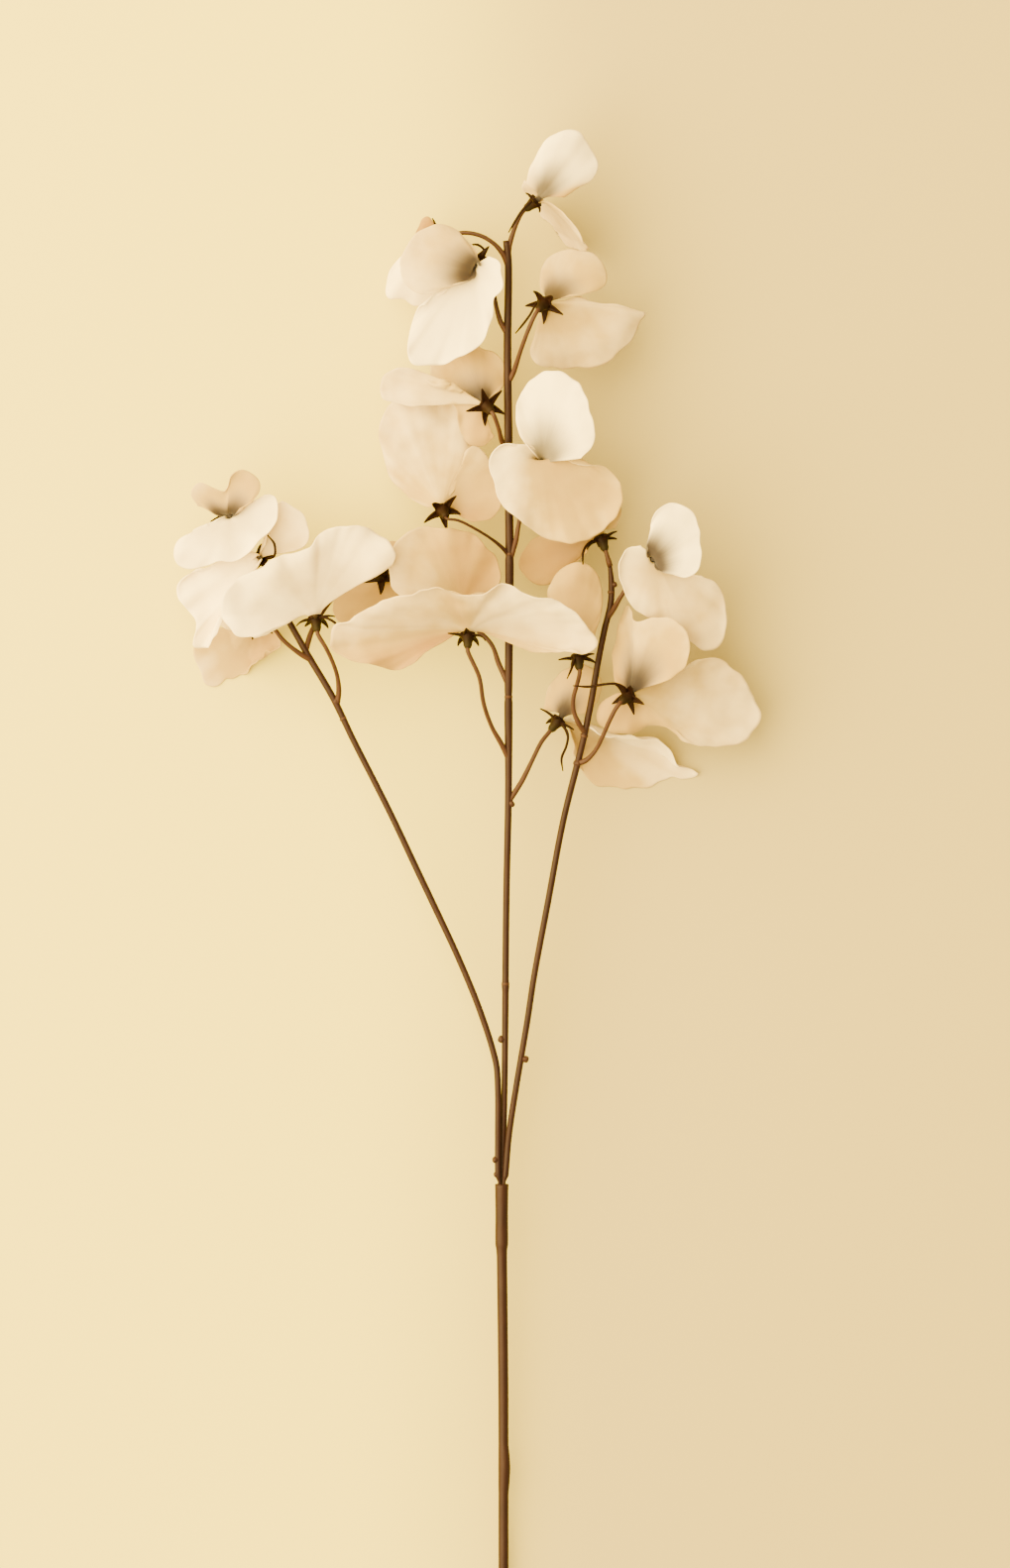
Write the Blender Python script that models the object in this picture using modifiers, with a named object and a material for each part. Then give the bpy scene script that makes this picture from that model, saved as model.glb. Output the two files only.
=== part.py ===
"""An artificial sweet pea spray that lies on its back on a table.

One main stem carries three spray stems, and each of their pedicels ends in a calyx that holds one bloom: a wide
two-lobed standard petal and a pair of cupped wing petals. Lengths are in millimetres until a mesh is made. x runs
to the right, y along the stem from its cut end, and z up from the table. The finished model stands over the
middle of its own outline, at the origin.
"""

import math

import bmesh
import bpy
from mathutils import Matrix, Vector

MM = 0.001

# The middle of the spray's outline, measured from the cut end of the main stem.
FRAME_CENTRE = (-20.5, 393.75)

# The sheath at the top of the main stem, and the socket in it that the three spray stems share.
SHEATH_RADIUS = 3.5
SOCKET_RADIUS = 2.6
SOCKET_DEPTH = 7.0
PEG_RADIUS = 0.85
SPRAY_RADIUS = 1.6
PEDICEL_RADIUS = 1.1

# The calyx: a tube over the pedicel's end, and a cup that the petals' claws sit in.
CALYX_HEIGHT = 8.0
CUP_RADIUS = 3.8
CUP_BORE = 2.5
CUP_FLOOR = 4.6
TUBE_RADIUS = 2.3
TUBE_BORE = 1.55
TUBE_BORE_DEPTH = 2.4
CALYX_SIDES = 8
SEPALS = 5
SEPAL_LENGTH = 9.0
SEPAL_WIDTH = 3.4
SEPAL_TIP_WIDTH = 1.0
SEPAL_FLATNESS = 0.6
SEPAL_REFLEX = math.radians(24)
TAIL_DEPTH = 2.0
TAIL_RADIUS = 0.65
TAIL_TIP_RADIUS = 0.4

# The petals: one sheet each, joined at their claws by a plug that fits the cup.
PETAL_THICKNESS = 0.8
PRESSED_FLAT = 0.15
CLAW_LENGTH = 5.5
CLAW_APART = 0.3
STANDARD_RISE = 0.5
WINGS_RISE = 1.0
BELLY = 0.6
PETAL_ROWS = (0.32, 0.65, 1.0)
SMALL_ROWS = (0.4, 1.0)
RESTING_ROWS = (0.25, 0.45, 0.7, 1.0)
PLUG_RADIUS = 2.1
PLUG_RISE = 1.7
SEAT_GAP = 0.3

ROUTE_STEP = 13.0

# Routes are rows of x, y, z and radius. The main stem has a swelling above its cut end and the sheath at its top.
MAIN_STEM = [
    (-2.5, 0.0, 2.6, 2.5), (-2.5, 62.0, 6.8, 2.6), (-2.5, 100.0, 9.4, 2.6), (-2.2, 105.0, 9.8, 3.1),
    (-2.2, 118.0, 10.6, 3.1), (-2.5, 123.0, 11.0, 2.6), (-2.6, 153.0, 13.0, 2.6), (-3.4, 222.0, 17.7, 2.7),
    (-3.4, 226.0, 18.0, SHEATH_RADIUS), (-3.4, 256.0, 20.0, SHEATH_RADIUS),
]

SPRAYS = {
    "centre": [
        (-3.4, 250.0, 18.3, PEG_RADIUS), (-3.4, 257.0, 18.75, PEG_RADIUS), (-3.4, 260.0, 18.2, SPRAY_RADIUS),
        (-2.6, 280.0, 20.2, SPRAY_RADIUS), (-2.0, 303.5, 23.0, SPRAY_RADIUS), (-1.5, 353.0, 28.0, 1.7),
        (-1.5, 355.5, 28.3, 1.95), (-1.5, 359.0, 28.5, 1.7), (-1.0, 403.5, 31.0, 1.7), (0.0, 453.5, 34.0, 1.8),
        (0.0, 499.0, 36.3, 2.1), (0.0, 502.0, 36.5, 1.75), (0.0, 505.0, 36.6, 2.0), (0.5, 553.5, 38.5, 2.1),
        (0.5, 571.0, 39.0, 2.2), (0.5, 574.0, 39.1, 1.8), (0.5, 577.0, 39.2, 2.1), (0.0, 628.5, 40.5, 2.1),
        (-0.5, 678.5, 41.3, 2.0), (0.0, 718.5, 41.5, 1.9), (-1.0, 732.0, 41.5, 1.8),
    ],
    "left": [
        (-4.5, 250.0, 20.2, PEG_RADIUS), (-4.55, 257.0, 20.7, PEG_RADIUS), (-5.25, 260.0, 21.3, SPRAY_RADIUS),
        (-5.3, 280.0, 22.9, SPRAY_RADIUS), (-5.3, 303.5, 24.7, SPRAY_RADIUS), (-6.5, 318.0, 25.7, SPRAY_RADIUS),
        (-14.4, 343.5, 27.5, SPRAY_RADIUS), (-25.0, 369.5, 29.0, SPRAY_RADIUS), (-37.3, 396.0, 30.4, 1.65),
        (-45.6, 413.5, 31.0, 1.65), (-60.0, 444.0, 32.2, 1.6), (-78.7, 481.0, 33.0, 1.6),
        (-88.8, 502.0, 33.5, 1.7), (-101.5, 523.5, 34.0, 1.7), (-108.0, 535.0, 34.0, 1.6),
        (-118.0, 552.0, 32.5, 1.5), (-128.5, 563.0, 28.0, 1.4), (-136.5, 575.0, 27.5, 1.3),
        (-140.0, 584.5, 31.0, PEDICEL_RADIUS), (-139.9, 588.5, 36.0, PEDICEL_RADIUS),
    ],
    "right": [
        (-2.3, 250.0, 20.2, PEG_RADIUS), (-2.25, 257.0, 20.7, PEG_RADIUS), (-1.55, 260.0, 21.3, SPRAY_RADIUS),
        (0.2, 280.0, 22.9, SPRAY_RADIUS), (3.7, 303.5, 24.6, SPRAY_RADIUS), (9.5, 338.0, 27.0, SPRAY_RADIUS),
        (13.0, 361.0, 28.0, SPRAY_RADIUS), (20.0, 398.5, 29.8, 1.65), (27.5, 438.5, 31.0, 1.65),
        (35.5, 471.0, 32.2, 1.7), (38.5, 483.5, 33.0, 1.7), (42.0, 501.0, 34.0, 1.65), (45.0, 518.5, 35.0, 1.6),
        (48.5, 536.0, 36.4, 1.6), (51.5, 548.5, 37.2, 1.6), (52.0, 558.5, 37.8, 1.5),
        (51.2, 568.0, 38.4, PEDICEL_RADIUS),
    ],
}

# Cut shoots left as knobs on the spray stems: the stem, the place and the radius.
KNOBS = [
    ("centre", (-3.6, 329.0, 26.0), 1.6),
    ("left", (-6.6, 268.0, 22.5), 1.6),
    ("left", (-6.3, 260.5, 21.5), 1.4),
    ("right", (8.6, 319.0, 26.2), 1.8),
    ("right", (53.6, 558.5, 38.2), 1.3),
]

# Each flower: its spray, the middle of its calyx mouth, the way it faces, the turn of its sepals in degrees, its
# pedicel's route from the stem, its long sepal's route, and its petals. A petal is its rim, from one side of the
# throat round to the other, and its bow: how far the middle of a rib stands off the straight, per unit of length.
FLOWERS = {
    "c1": {
        "spray": "centre", "mouth": (14.5, 752.5, 44.0), "faces": (0.75, 0.6, 0.15), "turn": 20,
        "pedicel": [(-0.5, 723.0, 41.4), (0.8, 731.0, 41.5), (4.0, 740.5, 42.0)],
        "tail": [(10.5, 751.0, 46.5), (6.5, 746.5, 46.8), (3.0, 741.0, 46.3), (0.0, 736.0, 45.5)],
        "standard": [
            (8.0, 762.0, 40.0), (9.5, 757.5, 22.0), (14.0, 751.0, 5.0), (21.0, 742.5, -6.0), (30.0, 732.0, -6.0),
            (37.5, 728.5, 8.0), (39.5, 728.3, 26.0), (39.5, 729.3, 41.0), (36.5, 735.0, 51.0), (29.0, 745.0, 52.0),
        ],
        "standard_bow": (0.04, 0.03, 0.0),
        "standard_rows": RESTING_ROWS,
        "wings": [
            (9.0, 760.5, 47.0), (10.0, 768.0, 51.0), (16.0, 778.5, 55.0), (22.5, 785.0, 57.0),
            (30.0, 787.5, 57.0), (37.0, 785.5, 55.0), (40.0, 780.0, 52.0), (44.0, 774.5, 50.0),
            (46.0, 768.5, 48.0), (43.5, 762.0, 46.5), (36.0, 758.5, 46.0),
        ],
        "wings_bow": (0.0, 0.0, 0.22),
    },
    "c2": {
        "spray": "centre", "mouth": (-17.0, 720.0, 54.0), "faces": (-0.3, -0.4, 0.87), "turn": 20,
        "pedicel": [
            (-0.5, 685.0, 41.3), (-4.0, 691.0, 42.0), (-6.5, 700.5, 43.0), (-8.5, 713.0, 43.5),
            (-10.0, 721.5, 43.8),
        ],
        "tail": [(-13.0, 722.5, 53.5), (-12.0, 726.5, 54.5), (-15.5, 729.5, 55.0), (-20.0, 729.3, 55.0)],
        "standard": [
            (-10.5, 723.0, 60.0), (-5.5, 721.0, 62.0), (-2.5, 714.5, 62.0), (-3.0, 707.0, 61.0),
            (-7.0, 700.0, 58.0), (-10.0, 687.5, 55.5), (-13.5, 679.5, 54.0), (-21.5, 674.5, 53.0),
            (-31.5, 670.0, 52.0), (-43.0, 668.5, 51.0), (-50.0, 672.0, 51.0), (-51.0, 680.0, 52.5),
            (-48.0, 691.0, 54.0), (-43.5, 701.0, 56.0), (-33.0, 704.5, 57.0),
        ],
        "standard_bow": (0.0, 0.0, 0.04),
        "wings": [
            (-24.5, 709.0, 60.0), (-34.0, 705.5, 62.0), (-45.0, 704.8, 62.0), (-51.5, 709.0, 62.0),
            (-54.5, 717.0, 63.0), (-52.5, 727.0, 64.0), (-47.0, 734.0, 65.0), (-40.0, 738.5, 65.0),
            (-32.0, 739.0, 64.0), (-25.0, 736.0, 63.5), (-19.5, 730.5, 62.0), (-15.5, 724.5, 61.0),
        ],
        "wings_bow": (0.0, 0.0, 0.2),
    },
    "c3": {
        "spray": "centre", "mouth": (18.5, 700.5, 51.0), "faces": (0.45, 0.5, -0.74), "turn": 22,
        "pedicel": [(0.0, 661.0, 41.0), (2.5, 665.5, 43.0), (6.0, 676.0, 49.5), (9.5, 685.5, 55.0), (12.5, 692.5, 57.8)],
        "tail": [(13.5, 699.0, 53.5), (11.0, 694.5, 53.5), (7.5, 689.8, 51.5), (3.5, 685.0, 49.5)],
        "standard": [
            (36.0, 702.3, 43.0), (46.0, 701.0, 42.0), (56.0, 698.5, 40.0), (65.5, 697.5, 38.0),
            (69.5, 694.0, 37.0), (67.5, 687.5, 35.0), (61.5, 680.5, 33.0), (52.5, 674.0, 31.0),
            (43.5, 669.5, 30.0), (32.5, 667.5, 30.0), (21.5, 667.5, 32.0), (14.5, 671.0, 35.0),
            (12.5, 680.0, 38.5), (14.0, 689.0, 42.5),
        ],
        "standard_bow": (0.0, 0.0, 0.06),
        "wings": [
            (17.0, 706.5, 47.5), (16.0, 712.5, 45.5), (17.5, 720.0, 44.0), (23.0, 725.5, 43.0),
            (31.0, 726.5, 42.5), (39.5, 725.5, 42.0), (46.0, 722.0, 42.0), (49.5, 716.0, 42.0),
            (49.0, 709.5, 43.0), (42.5, 705.5, 45.0), (33.0, 704.3, 47.0),
        ],
        "wings_bow": (0.0, 0.0, 0.12),
        "wings_rows": SMALL_ROWS,
    },
    "c4": {
        "spray": "centre", "mouth": (-38.5, 731.5, 34.0), "faces": (-0.85, -0.3, -0.4), "turn": 0,
        "pedicel": [
            (0.0, 719.0, 41.4), (-3.0, 725.5, 42.3), (-8.0, 731.0, 43.3), (-15.0, 734.8, 43.3),
            (-23.0, 736.0, 41.5),
        ],
        "tail": [(-37.5, 737.0, 37.5), (-37.0, 740.5, 38.5), (-38.5, 743.5, 38.5)],
        "standard": [
            (-49.0, 728.0, 28.0), (-55.0, 724.5, 25.0), (-59.5, 718.0, 22.0), (-62.0, 710.0, 20.0),
            (-60.0, 704.3, 19.0), (-54.0, 703.0, 18.0), (-46.0, 700.0, 16.0), (-37.0, 699.0, 15.0),
            (-29.0, 703.0, 17.0), (-25.0, 712.0, 20.0), (-26.0, 721.0, 24.0),
        ],
        "standard_bow": (0.0, 0.0, 0.04),
        "wings": [
            (-38.5, 738.0, 34.0), (-41.0, 741.0, 33.0), (-45.0, 740.0, 32.0), (-47.0, 734.0, 30.5),
            (-48.5, 726.5, 31.0), (-46.0, 719.5, 30.0), (-40.0, 717.0, 29.0),
        ],
        "wings_bow": (0.0, 0.0, 0.1),
        "wings_rows": SMALL_ROWS,
    },
    "c5": {
        "spray": "centre", "mouth": (-11.5, 649.0, 50.0), "faces": (-0.4, 0.5, -0.77), "turn": 30,
        "pedicel": [(0.0, 625.5, 40.5), (-3.2, 630.5, 46.5), (-4.8, 636.5, 52.5), (-6.6, 641.8, 56.2)],
        "standard": [
            (-25.5, 656.5, 50.0), (-34.0, 661.0, 50.0), (-43.0, 665.5, 50.0), (-53.0, 667.5, 49.0),
            (-61.5, 665.0, 48.0), (-65.0, 658.5, 47.0), (-63.0, 651.5, 46.5), (-55.0, 648.5, 46.0),
            (-43.0, 649.0, 46.0), (-31.0, 651.0, 46.0), (-26.0, 647.0, 45.0), (-24.5, 638.5, 43.0),
            (-21.5, 630.5, 42.0), (-16.0, 627.0, 41.5), (-11.0, 628.5, 41.5), (-8.7, 634.5, 42.0),
        ],
        "standard_bow": (0.0, 0.0, 0.02),
        "wings": [
            (-5.0, 655.0, 43.0), (-3.2, 660.0, 38.5), (-3.2, 667.0, 36.5), (-6.5, 674.0, 36.0),
            (-14.0, 679.0, 37.0), (-24.0, 681.0, 38.0), (-33.5, 678.0, 39.0), (-40.0, 671.5, 40.5),
            (-40.0, 664.5, 42.0), (-33.0, 659.0, 43.5),
        ],
        "wings_bow": (0.0, 0.0, 0.04),
        "wings_rows": SMALL_ROWS,
    },
    "c6": {
        "spray": "centre", "mouth": (-33.5, 596.5, 45.0), "faces": (-0.25, 0.5, -0.8), "turn": 0,
        "pedicel": [
            (0.5, 573.0, 39.1), (-3.5, 577.5, 42.0), (-10.0, 582.5, 46.5), (-18.5, 587.5, 50.5),
            (-25.5, 590.8, 53.0),
        ],
        "standard": [
            (-43.0, 598.0, 40.5), (-51.0, 602.5, 37.5), (-57.5, 608.5, 35.5), (-61.5, 616.5, 34.0),
            (-63.5, 627.0, 34.0), (-64.0, 638.0, 34.0), (-61.0, 647.0, 34.0), (-55.0, 652.0, 34.0),
            (-46.0, 655.0, 34.0), (-36.5, 654.0, 34.0), (-29.5, 649.0, 34.5), (-25.5, 640.5, 35.5),
            (-24.5, 630.0, 36.5), (-25.5, 618.0, 38.0),
        ],
        "standard_bow": (0.0, 0.0, 0.0),
        "wings": [
            (-25.0, 609.0, 42.0), (-23.0, 618.5, 41.0), (-20.0, 627.0, 39.5), (-15.5, 628.5, 38.5),
            (-10.5, 622.5, 38.0), (-7.0, 613.0, 38.0), (-4.5, 604.0, 38.5), (-4.2, 596.5, 39.5),
            (-9.5, 591.5, 41.5), (-19.0, 590.5, 43.0),
        ],
        "wings_bow": (0.0, 0.0, 0.04),
        "wings_rows": SMALL_ROWS,
    },
    "c7": {
        "spray": "centre", "mouth": (17.0, 619.5, 52.0), "faces": (0.12, 0.15, 0.98), "turn": 0,
        "pedicel": [
            (1.0, 572.0, 39.0), (3.5, 580.0, 40.3), (5.2, 589.0, 41.6), (7.5, 600.0, 42.0), (11.5, 610.5, 41.5),
        ],
        "standard": [
            (8.5, 627.0, 58.0), (1.5, 630.0, 59.0), (-5.5, 628.5, 59.0), (-10.0, 621.5, 58.0),
            (-8.5, 612.0, 57.0), (-5.5, 604.0, 56.0), (-2.0, 597.0, 55.0), (4.0, 592.5, 54.0),
            (11.0, 586.5, 53.0), (20.0, 581.5, 52.0), (30.0, 579.8, 51.0), (40.0, 581.0, 51.0),
            (49.0, 586.5, 51.0), (55.5, 595.0, 51.5), (57.5, 604.0, 52.5), (54.0, 611.5, 54.0),
            (46.0, 616.5, 56.0), (35.0, 618.0, 58.0),
        ],
        "standard_bow": (0.0, 0.0, 0.03),
        "wings": [
            (9.0, 627.5, 62.0), (5.5, 634.0, 64.0), (4.0, 643.5, 66.0), (6.0, 654.0, 67.0),
            (11.5, 661.5, 68.0), (18.5, 665.5, 68.5), (26.0, 665.5, 68.5), (33.5, 661.0, 68.0),
            (38.5, 654.0, 67.0), (41.0, 646.0, 66.0), (43.5, 637.5, 65.0), (42.5, 628.5, 63.5),
            (36.0, 621.5, 62.0),
        ],
        "wings_bow": (0.0, 0.0, 0.16),
    },
    "c8": {
        "spray": "centre", "mouth": (-24.0, 547.5, 30.0), "faces": (-0.2, 0.9, 0.35), "turn": 0,
        "pedicel": [
            (0.0, 508.0, 36.7), (-5.0, 519.0, 34.5), (-8.0, 527.5, 30.5), (-13.0, 533.5, 27.0),
            (-18.5, 536.8, 25.8),
        ],
        "standard": [
            (-41.0, 550.0, 36.0), (-51.5, 551.5, 38.0), (-58.0, 557.0, 39.0), (-60.5, 566.5, 40.0),
            (-58.5, 577.0, 41.0), (-52.5, 584.0, 41.0), (-44.0, 588.0, 41.0), (-36.5, 587.5, 41.0),
            (-28.5, 587.0, 41.0), (-20.5, 585.5, 40.0), (-13.5, 580.5, 38.5), (-7.5, 574.0, 36.5),
            (-4.6, 565.5, 35.0), (-5.0, 557.0, 34.0), (-10.0, 552.0, 33.0),
        ],
        "standard_bow": (0.0, 0.0, 0.04),
        "wings": [
            (-30.0, 553.0, 37.0), (-34.0, 558.5, 41.0), (-33.0, 565.5, 44.0), (-27.0, 569.5, 46.0),
            (-19.0, 569.0, 46.0), (-12.0, 565.5, 45.0), (-8.0, 559.5, 43.0), (-11.0, 553.5, 39.0),
        ],
        "wings_bow": (0.0, 0.0, 0.14),
        "wings_rows": SMALL_ROWS,
    },
    "c9": {
        "spray": "centre", "mouth": (-20.5, 534.0, 58.0), "faces": (0.0, 0.9, -0.25), "turn": 18,
        "pedicel": [
            (0.0, 471.0, 34.9), (-3.5, 478.0, 37.5), (-8.5, 487.0, 42.5), (-12.5, 498.5, 49.5),
            (-14.8, 512.0, 57.0),
        ],
        "standard": [
            (-40.0, 524.0, 61.5), (-57.0, 517.5, 61.0), (-75.0, 519.0, 61.0), (-88.0, 525.0, 62.0),
            (-89.0, 533.0, 66.0), (-80.0, 540.5, 70.0), (-70.0, 547.0, 73.0), (-56.0, 551.5, 77.0),
            (-44.0, 554.5, 80.0), (-34.0, 558.5, 82.0), (-25.0, 554.0, 80.0), (-14.0, 555.0, 81.0),
            (-3.0, 558.5, 82.0), (9.0, 554.0, 80.0), (22.0, 552.0, 77.0), (33.0, 545.5, 72.0),
            (42.0, 535.0, 66.0), (44.5, 528.5, 64.0), (38.0, 523.5, 62.0), (26.0, 523.5, 61.5),
            (12.0, 524.5, 60.5),
        ],
        "standard_bow": (0.0, 0.0, -0.02),
        "wings": [
            (-28.5, 542.5, 51.0), (-35.5, 546.0, 50.0), (-36.5, 551.5, 51.0), (-30.0, 555.0, 53.0),
            (-21.0, 553.0, 54.0), (-12.0, 555.0, 53.0), (-5.0, 550.0, 51.0), (-7.0, 543.5, 50.0),
        ],
        "wings_bow": (0.0, 0.0, 0.0),
        "wings_rows": SMALL_ROWS,
    },
    "c10": {
        "spray": "centre", "mouth": (26.0, 491.0, 27.0), "faces": (0.6, 0.75, -0.2), "turn": 0,
        "pedicel": [(0.0, 449.0, 33.8), (6.5, 459.0, 33.4), (12.5, 471.0, 31.8), (16.5, 479.0, 30.3)],
        "tail": [
            (27.5, 488.0, 30.5), (30.0, 483.0, 32.5), (29.2, 477.0, 33.0), (26.8, 471.0, 33.0),
            (27.5, 464.5, 32.5),
        ],
        "standard": [
            (38.0, 487.8, 24.0), (46.0, 484.5, 22.0), (56.0, 482.8, 20.0), (66.0, 481.0, 17.0),
            (75.0, 477.5, 13.0), (83.0, 472.3, 9.0), (90.0, 466.8, 5.0), (96.5, 463.5, 2.0),
            (91.0, 461.3, 0.0), (80.0, 461.5, -2.0), (69.0, 456.5, -4.0), (58.5, 454.8, -5.0),
            (48.5, 457.0, -4.0), (42.0, 461.5, -2.0), (38.0, 467.5, 4.0), (35.5, 475.5, 12.0),
        ],
        "standard_bow": (0.0, 0.0, -0.48),
        "standard_rows": RESTING_ROWS,
        "wings": [
            (17.5, 496.0, 24.5), (18.5, 504.0, 23.0), (23.0, 511.5, 22.0), (29.5, 517.5, 22.0),
            (36.5, 519.5, 22.0), (43.0, 516.0, 22.0), (46.5, 509.0, 22.0), (45.0, 501.0, 23.0),
            (41.0, 494.0, 24.0),
        ],
        "wings_bow": (0.0, 0.0, 0.04),
        "wings_rows": SMALL_ROWS,
    },
    "r1": {
        "spray": "right", "mouth": (46.5, 583.0, 37.0), "faces": (-0.3, 0.9, -0.25), "turn": 0,
        "pedicel": [(51.2, 568.0, 38.4)],
        "tail": [(43.3, 581.0, 40.0), (39.5, 578.5, 43.5), (37.5, 574.0, 46.0), (37.5, 568.5, 46.5)],
        "standard": [
            (54.0, 587.5, 35.0), (57.0, 594.5, 35.0), (56.0, 603.5, 35.0), (50.5, 611.0, 35.0),
            (42.0, 616.0, 35.0), (32.0, 615.5, 34.0), (24.5, 610.0, 33.0), (21.5, 601.0, 32.5),
            (24.0, 593.5, 32.5), (32.0, 588.5, 33.0),
        ],
        "standard_bow": (0.0, 0.0, 0.04),
        "wings": [
            (32.0, 585.5, 31.0), (23.5, 584.0, 28.0), (13.5, 581.5, 26.0), (7.5, 576.0, 25.0),
            (5.5, 568.5, 24.0), (9.5, 562.0, 24.0), (17.0, 558.5, 25.0), (25.0, 561.0, 26.0),
            (33.0, 568.0, 28.0), (39.0, 575.0, 31.5),
        ],
        "wings_bow": (0.0, 0.0, -0.02),
        "wings_rows": SMALL_ROWS,
    },
    "r2": {
        "spray": "right", "mouth": (73.0, 571.5, 54.0), "faces": (0.2, 0.1, 0.97), "turn": 40,
        "pedicel": [
            (50.0, 542.0, 36.8), (52.8, 545.8, 38.5), (57.0, 553.0, 41.5), (62.5, 560.5, 42.8), (67.5, 567.0, 42.8),
        ],
        "standard": [
            (67.0, 578.5, 58.0), (60.5, 577.5, 56.0), (56.2, 572.5, 54.0), (55.5, 563.5, 52.5),
            (58.5, 553.5, 51.5), (63.5, 547.5, 50.5), (71.0, 542.0, 49.0), (80.0, 538.0, 47.5),
            (89.0, 531.0, 46.0), (97.0, 525.5, 45.0), (104.0, 525.5, 44.0), (109.0, 532.0, 44.5),
            (110.0, 541.0, 46.0), (109.0, 550.0, 48.0), (105.0, 558.0, 51.0), (97.0, 564.0, 55.0),
        ],
        "standard_bow": (0.0, 0.0, 0.03),
        "wings": [
            (71.5, 581.5, 62.0), (72.5, 590.0, 64.5), (76.0, 597.0, 66.0), (82.0, 599.5, 67.0),
            (88.5, 597.5, 67.0), (94.0, 592.5, 67.0), (97.0, 586.5, 66.0), (96.5, 580.5, 65.0),
            (97.5, 574.0, 64.5), (95.5, 566.5, 63.5), (90.0, 562.0, 62.5), (84.0, 562.8, 61.5),
        ],
        "wings_bow": (0.0, 0.0, 0.17),
    },
    "r3": {
        "spray": "right", "mouth": (61.0, 503.0, 44.5), "faces": (0.55, 0.5, -0.67), "turn": 0,
        "pedicel": [(34.9, 468.5, 32.1), (39.0, 469.8, 34.2), (43.8, 474.8, 38.5), (47.5, 482.0, 43.5), (51.0, 490.0, 48.0), (53.8, 495.5, 50.0)],
        "tail": [
            (58.5, 506.5, 49.5), (54.0, 508.5, 51.0), (47.0, 508.0, 51.0), (40.0, 507.0, 50.5), (32.5, 507.5, 50.0),
        ],
        "standard": [
            (51.5, 502.5, 38.0), (46.0, 499.5, 35.5), (44.5, 493.5, 34.0), (46.0, 487.0, 33.0),
            (52.0, 483.3, 32.5), (60.0, 482.0, 32.0), (68.5, 483.5, 32.0), (75.5, 487.0, 33.0),
            (84.0, 484.5, 32.0), (92.0, 478.5, 30.0), (101.0, 476.3, 28.0), (111.0, 477.5, 26.0),
            (119.5, 481.0, 25.0), (126.0, 487.5, 24.0), (127.0, 495.0, 24.0), (123.5, 504.0, 26.0),
            (118.5, 511.5, 29.0), (111.0, 518.0, 33.0), (102.0, 521.8, 37.0), (92.5, 519.0, 41.0),
        ],
        "standard_bow": (0.0, 0.0, 0.0),
        "wings": [
            (54.0, 509.5, 41.0), (52.0, 518.0, 35.5), (52.5, 529.0, 32.0), (55.0, 540.0, 31.0),
            (59.0, 547.5, 33.0), (63.0, 546.0, 41.0), (65.5, 540.5, 51.0), (72.0, 541.8, 58.0),
            (80.0, 541.8, 60.0), (87.5, 536.5, 60.0), (91.0, 527.5, 59.0), (89.5, 518.0, 57.0),
            (83.5, 511.5, 55.0),
        ],
        "wings_bow": (0.0, 0.0, 0.1),
    },
    "r4": {
        "spray": "right", "mouth": (35.0, 523.0, 46.0), "faces": (-0.1, 0.95, -0.35), "turn": 0,
        "pedicel": [(38.6, 484.0, 33.1), (35.5, 488.5, 36.5), (33.0, 494.5, 39.0), (32.7, 501.0, 42.0), (34.5, 508.0, 45.5)],
        "tail": [(33.2, 520.5, 49.5), (31.5, 515.5, 51.5), (29.5, 511.0, 51.5)],
        "standard": [
            (25.0, 533.0, 42.0), (21.0, 543.5, 41.5), (20.0, 553.5, 41.5), (23.0, 563.5, 41.5),
            (29.5, 569.0, 42.0), (37.5, 569.5, 42.0), (44.5, 564.5, 41.5), (48.5, 556.0, 41.5),
            (48.5, 547.0, 41.5), (46.0, 538.0, 42.0), (42.5, 530.0, 43.0),
        ],
        "standard_bow": (0.0, 0.0, 0.08),
        "wings": [
            (27.0, 528.5, 39.0), (20.5, 530.0, 36.0), (15.5, 535.5, 33.5), (14.0, 543.0, 32.0),
            (18.0, 550.0, 32.0), (25.0, 552.0, 33.5), (31.5, 548.0, 36.0), (35.0, 540.0, 39.0),
        ],
        "wings_bow": (0.0, 0.0, -0.06),
        "wings_rows": SMALL_ROWS,
    },
    "l1": {
        "spray": "left", "mouth": (-97.5, 542.5, 46.0), "faces": (-0.15, 0.95, -0.25), "turn": 15,
        "pedicel": [(-86.4, 499.0, 33.4), (-85.6, 505.0, 36.0), (-86.5, 513.0, 40.5), (-89.5, 521.5, 45.0), (-92.8, 528.0, 47.6)],
        "tail": [(-94.5, 542.0, 49.5), (-91.0, 541.3, 51.5), (-87.5, 539.3, 52.0), (-84.5, 535.8, 51.5)],
        "standard": [
            (-112.0, 539.5, 50.0), (-122.5, 535.3, 54.0), (-132.0, 532.0, 57.0), (-140.0, 536.0, 58.0),
            (-144.5, 545.0, 59.0), (-142.5, 555.0, 60.0), (-135.0, 561.0, 60.0), (-127.0, 565.0, 60.0),
            (-119.0, 571.0, 59.0), (-109.0, 574.0, 57.0), (-100.0, 578.5, 55.0), (-94.0, 585.0, 54.0),
            (-86.5, 587.5, 53.0), (-77.5, 588.0, 52.0), (-68.0, 585.5, 50.0), (-60.5, 580.5, 49.0),
            (-57.0, 573.5, 48.0), (-60.5, 568.0, 47.0), (-68.5, 567.0, 46.5), (-76.5, 565.5, 46.0),
            (-83.0, 559.5, 46.0),
        ],
        "standard_bow": (0.0, 0.0, 0.03),
        "wings": [
            (-104.0, 549.5, 41.0), (-110.0, 556.5, 38.0), (-109.0, 565.0, 37.0), (-101.0, 569.0, 38.0),
            (-93.0, 568.5, 39.0), (-87.5, 561.5, 40.0), (-89.5, 553.0, 42.0),
        ],
        "wings_bow": (0.0, 0.0, -0.04),
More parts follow.
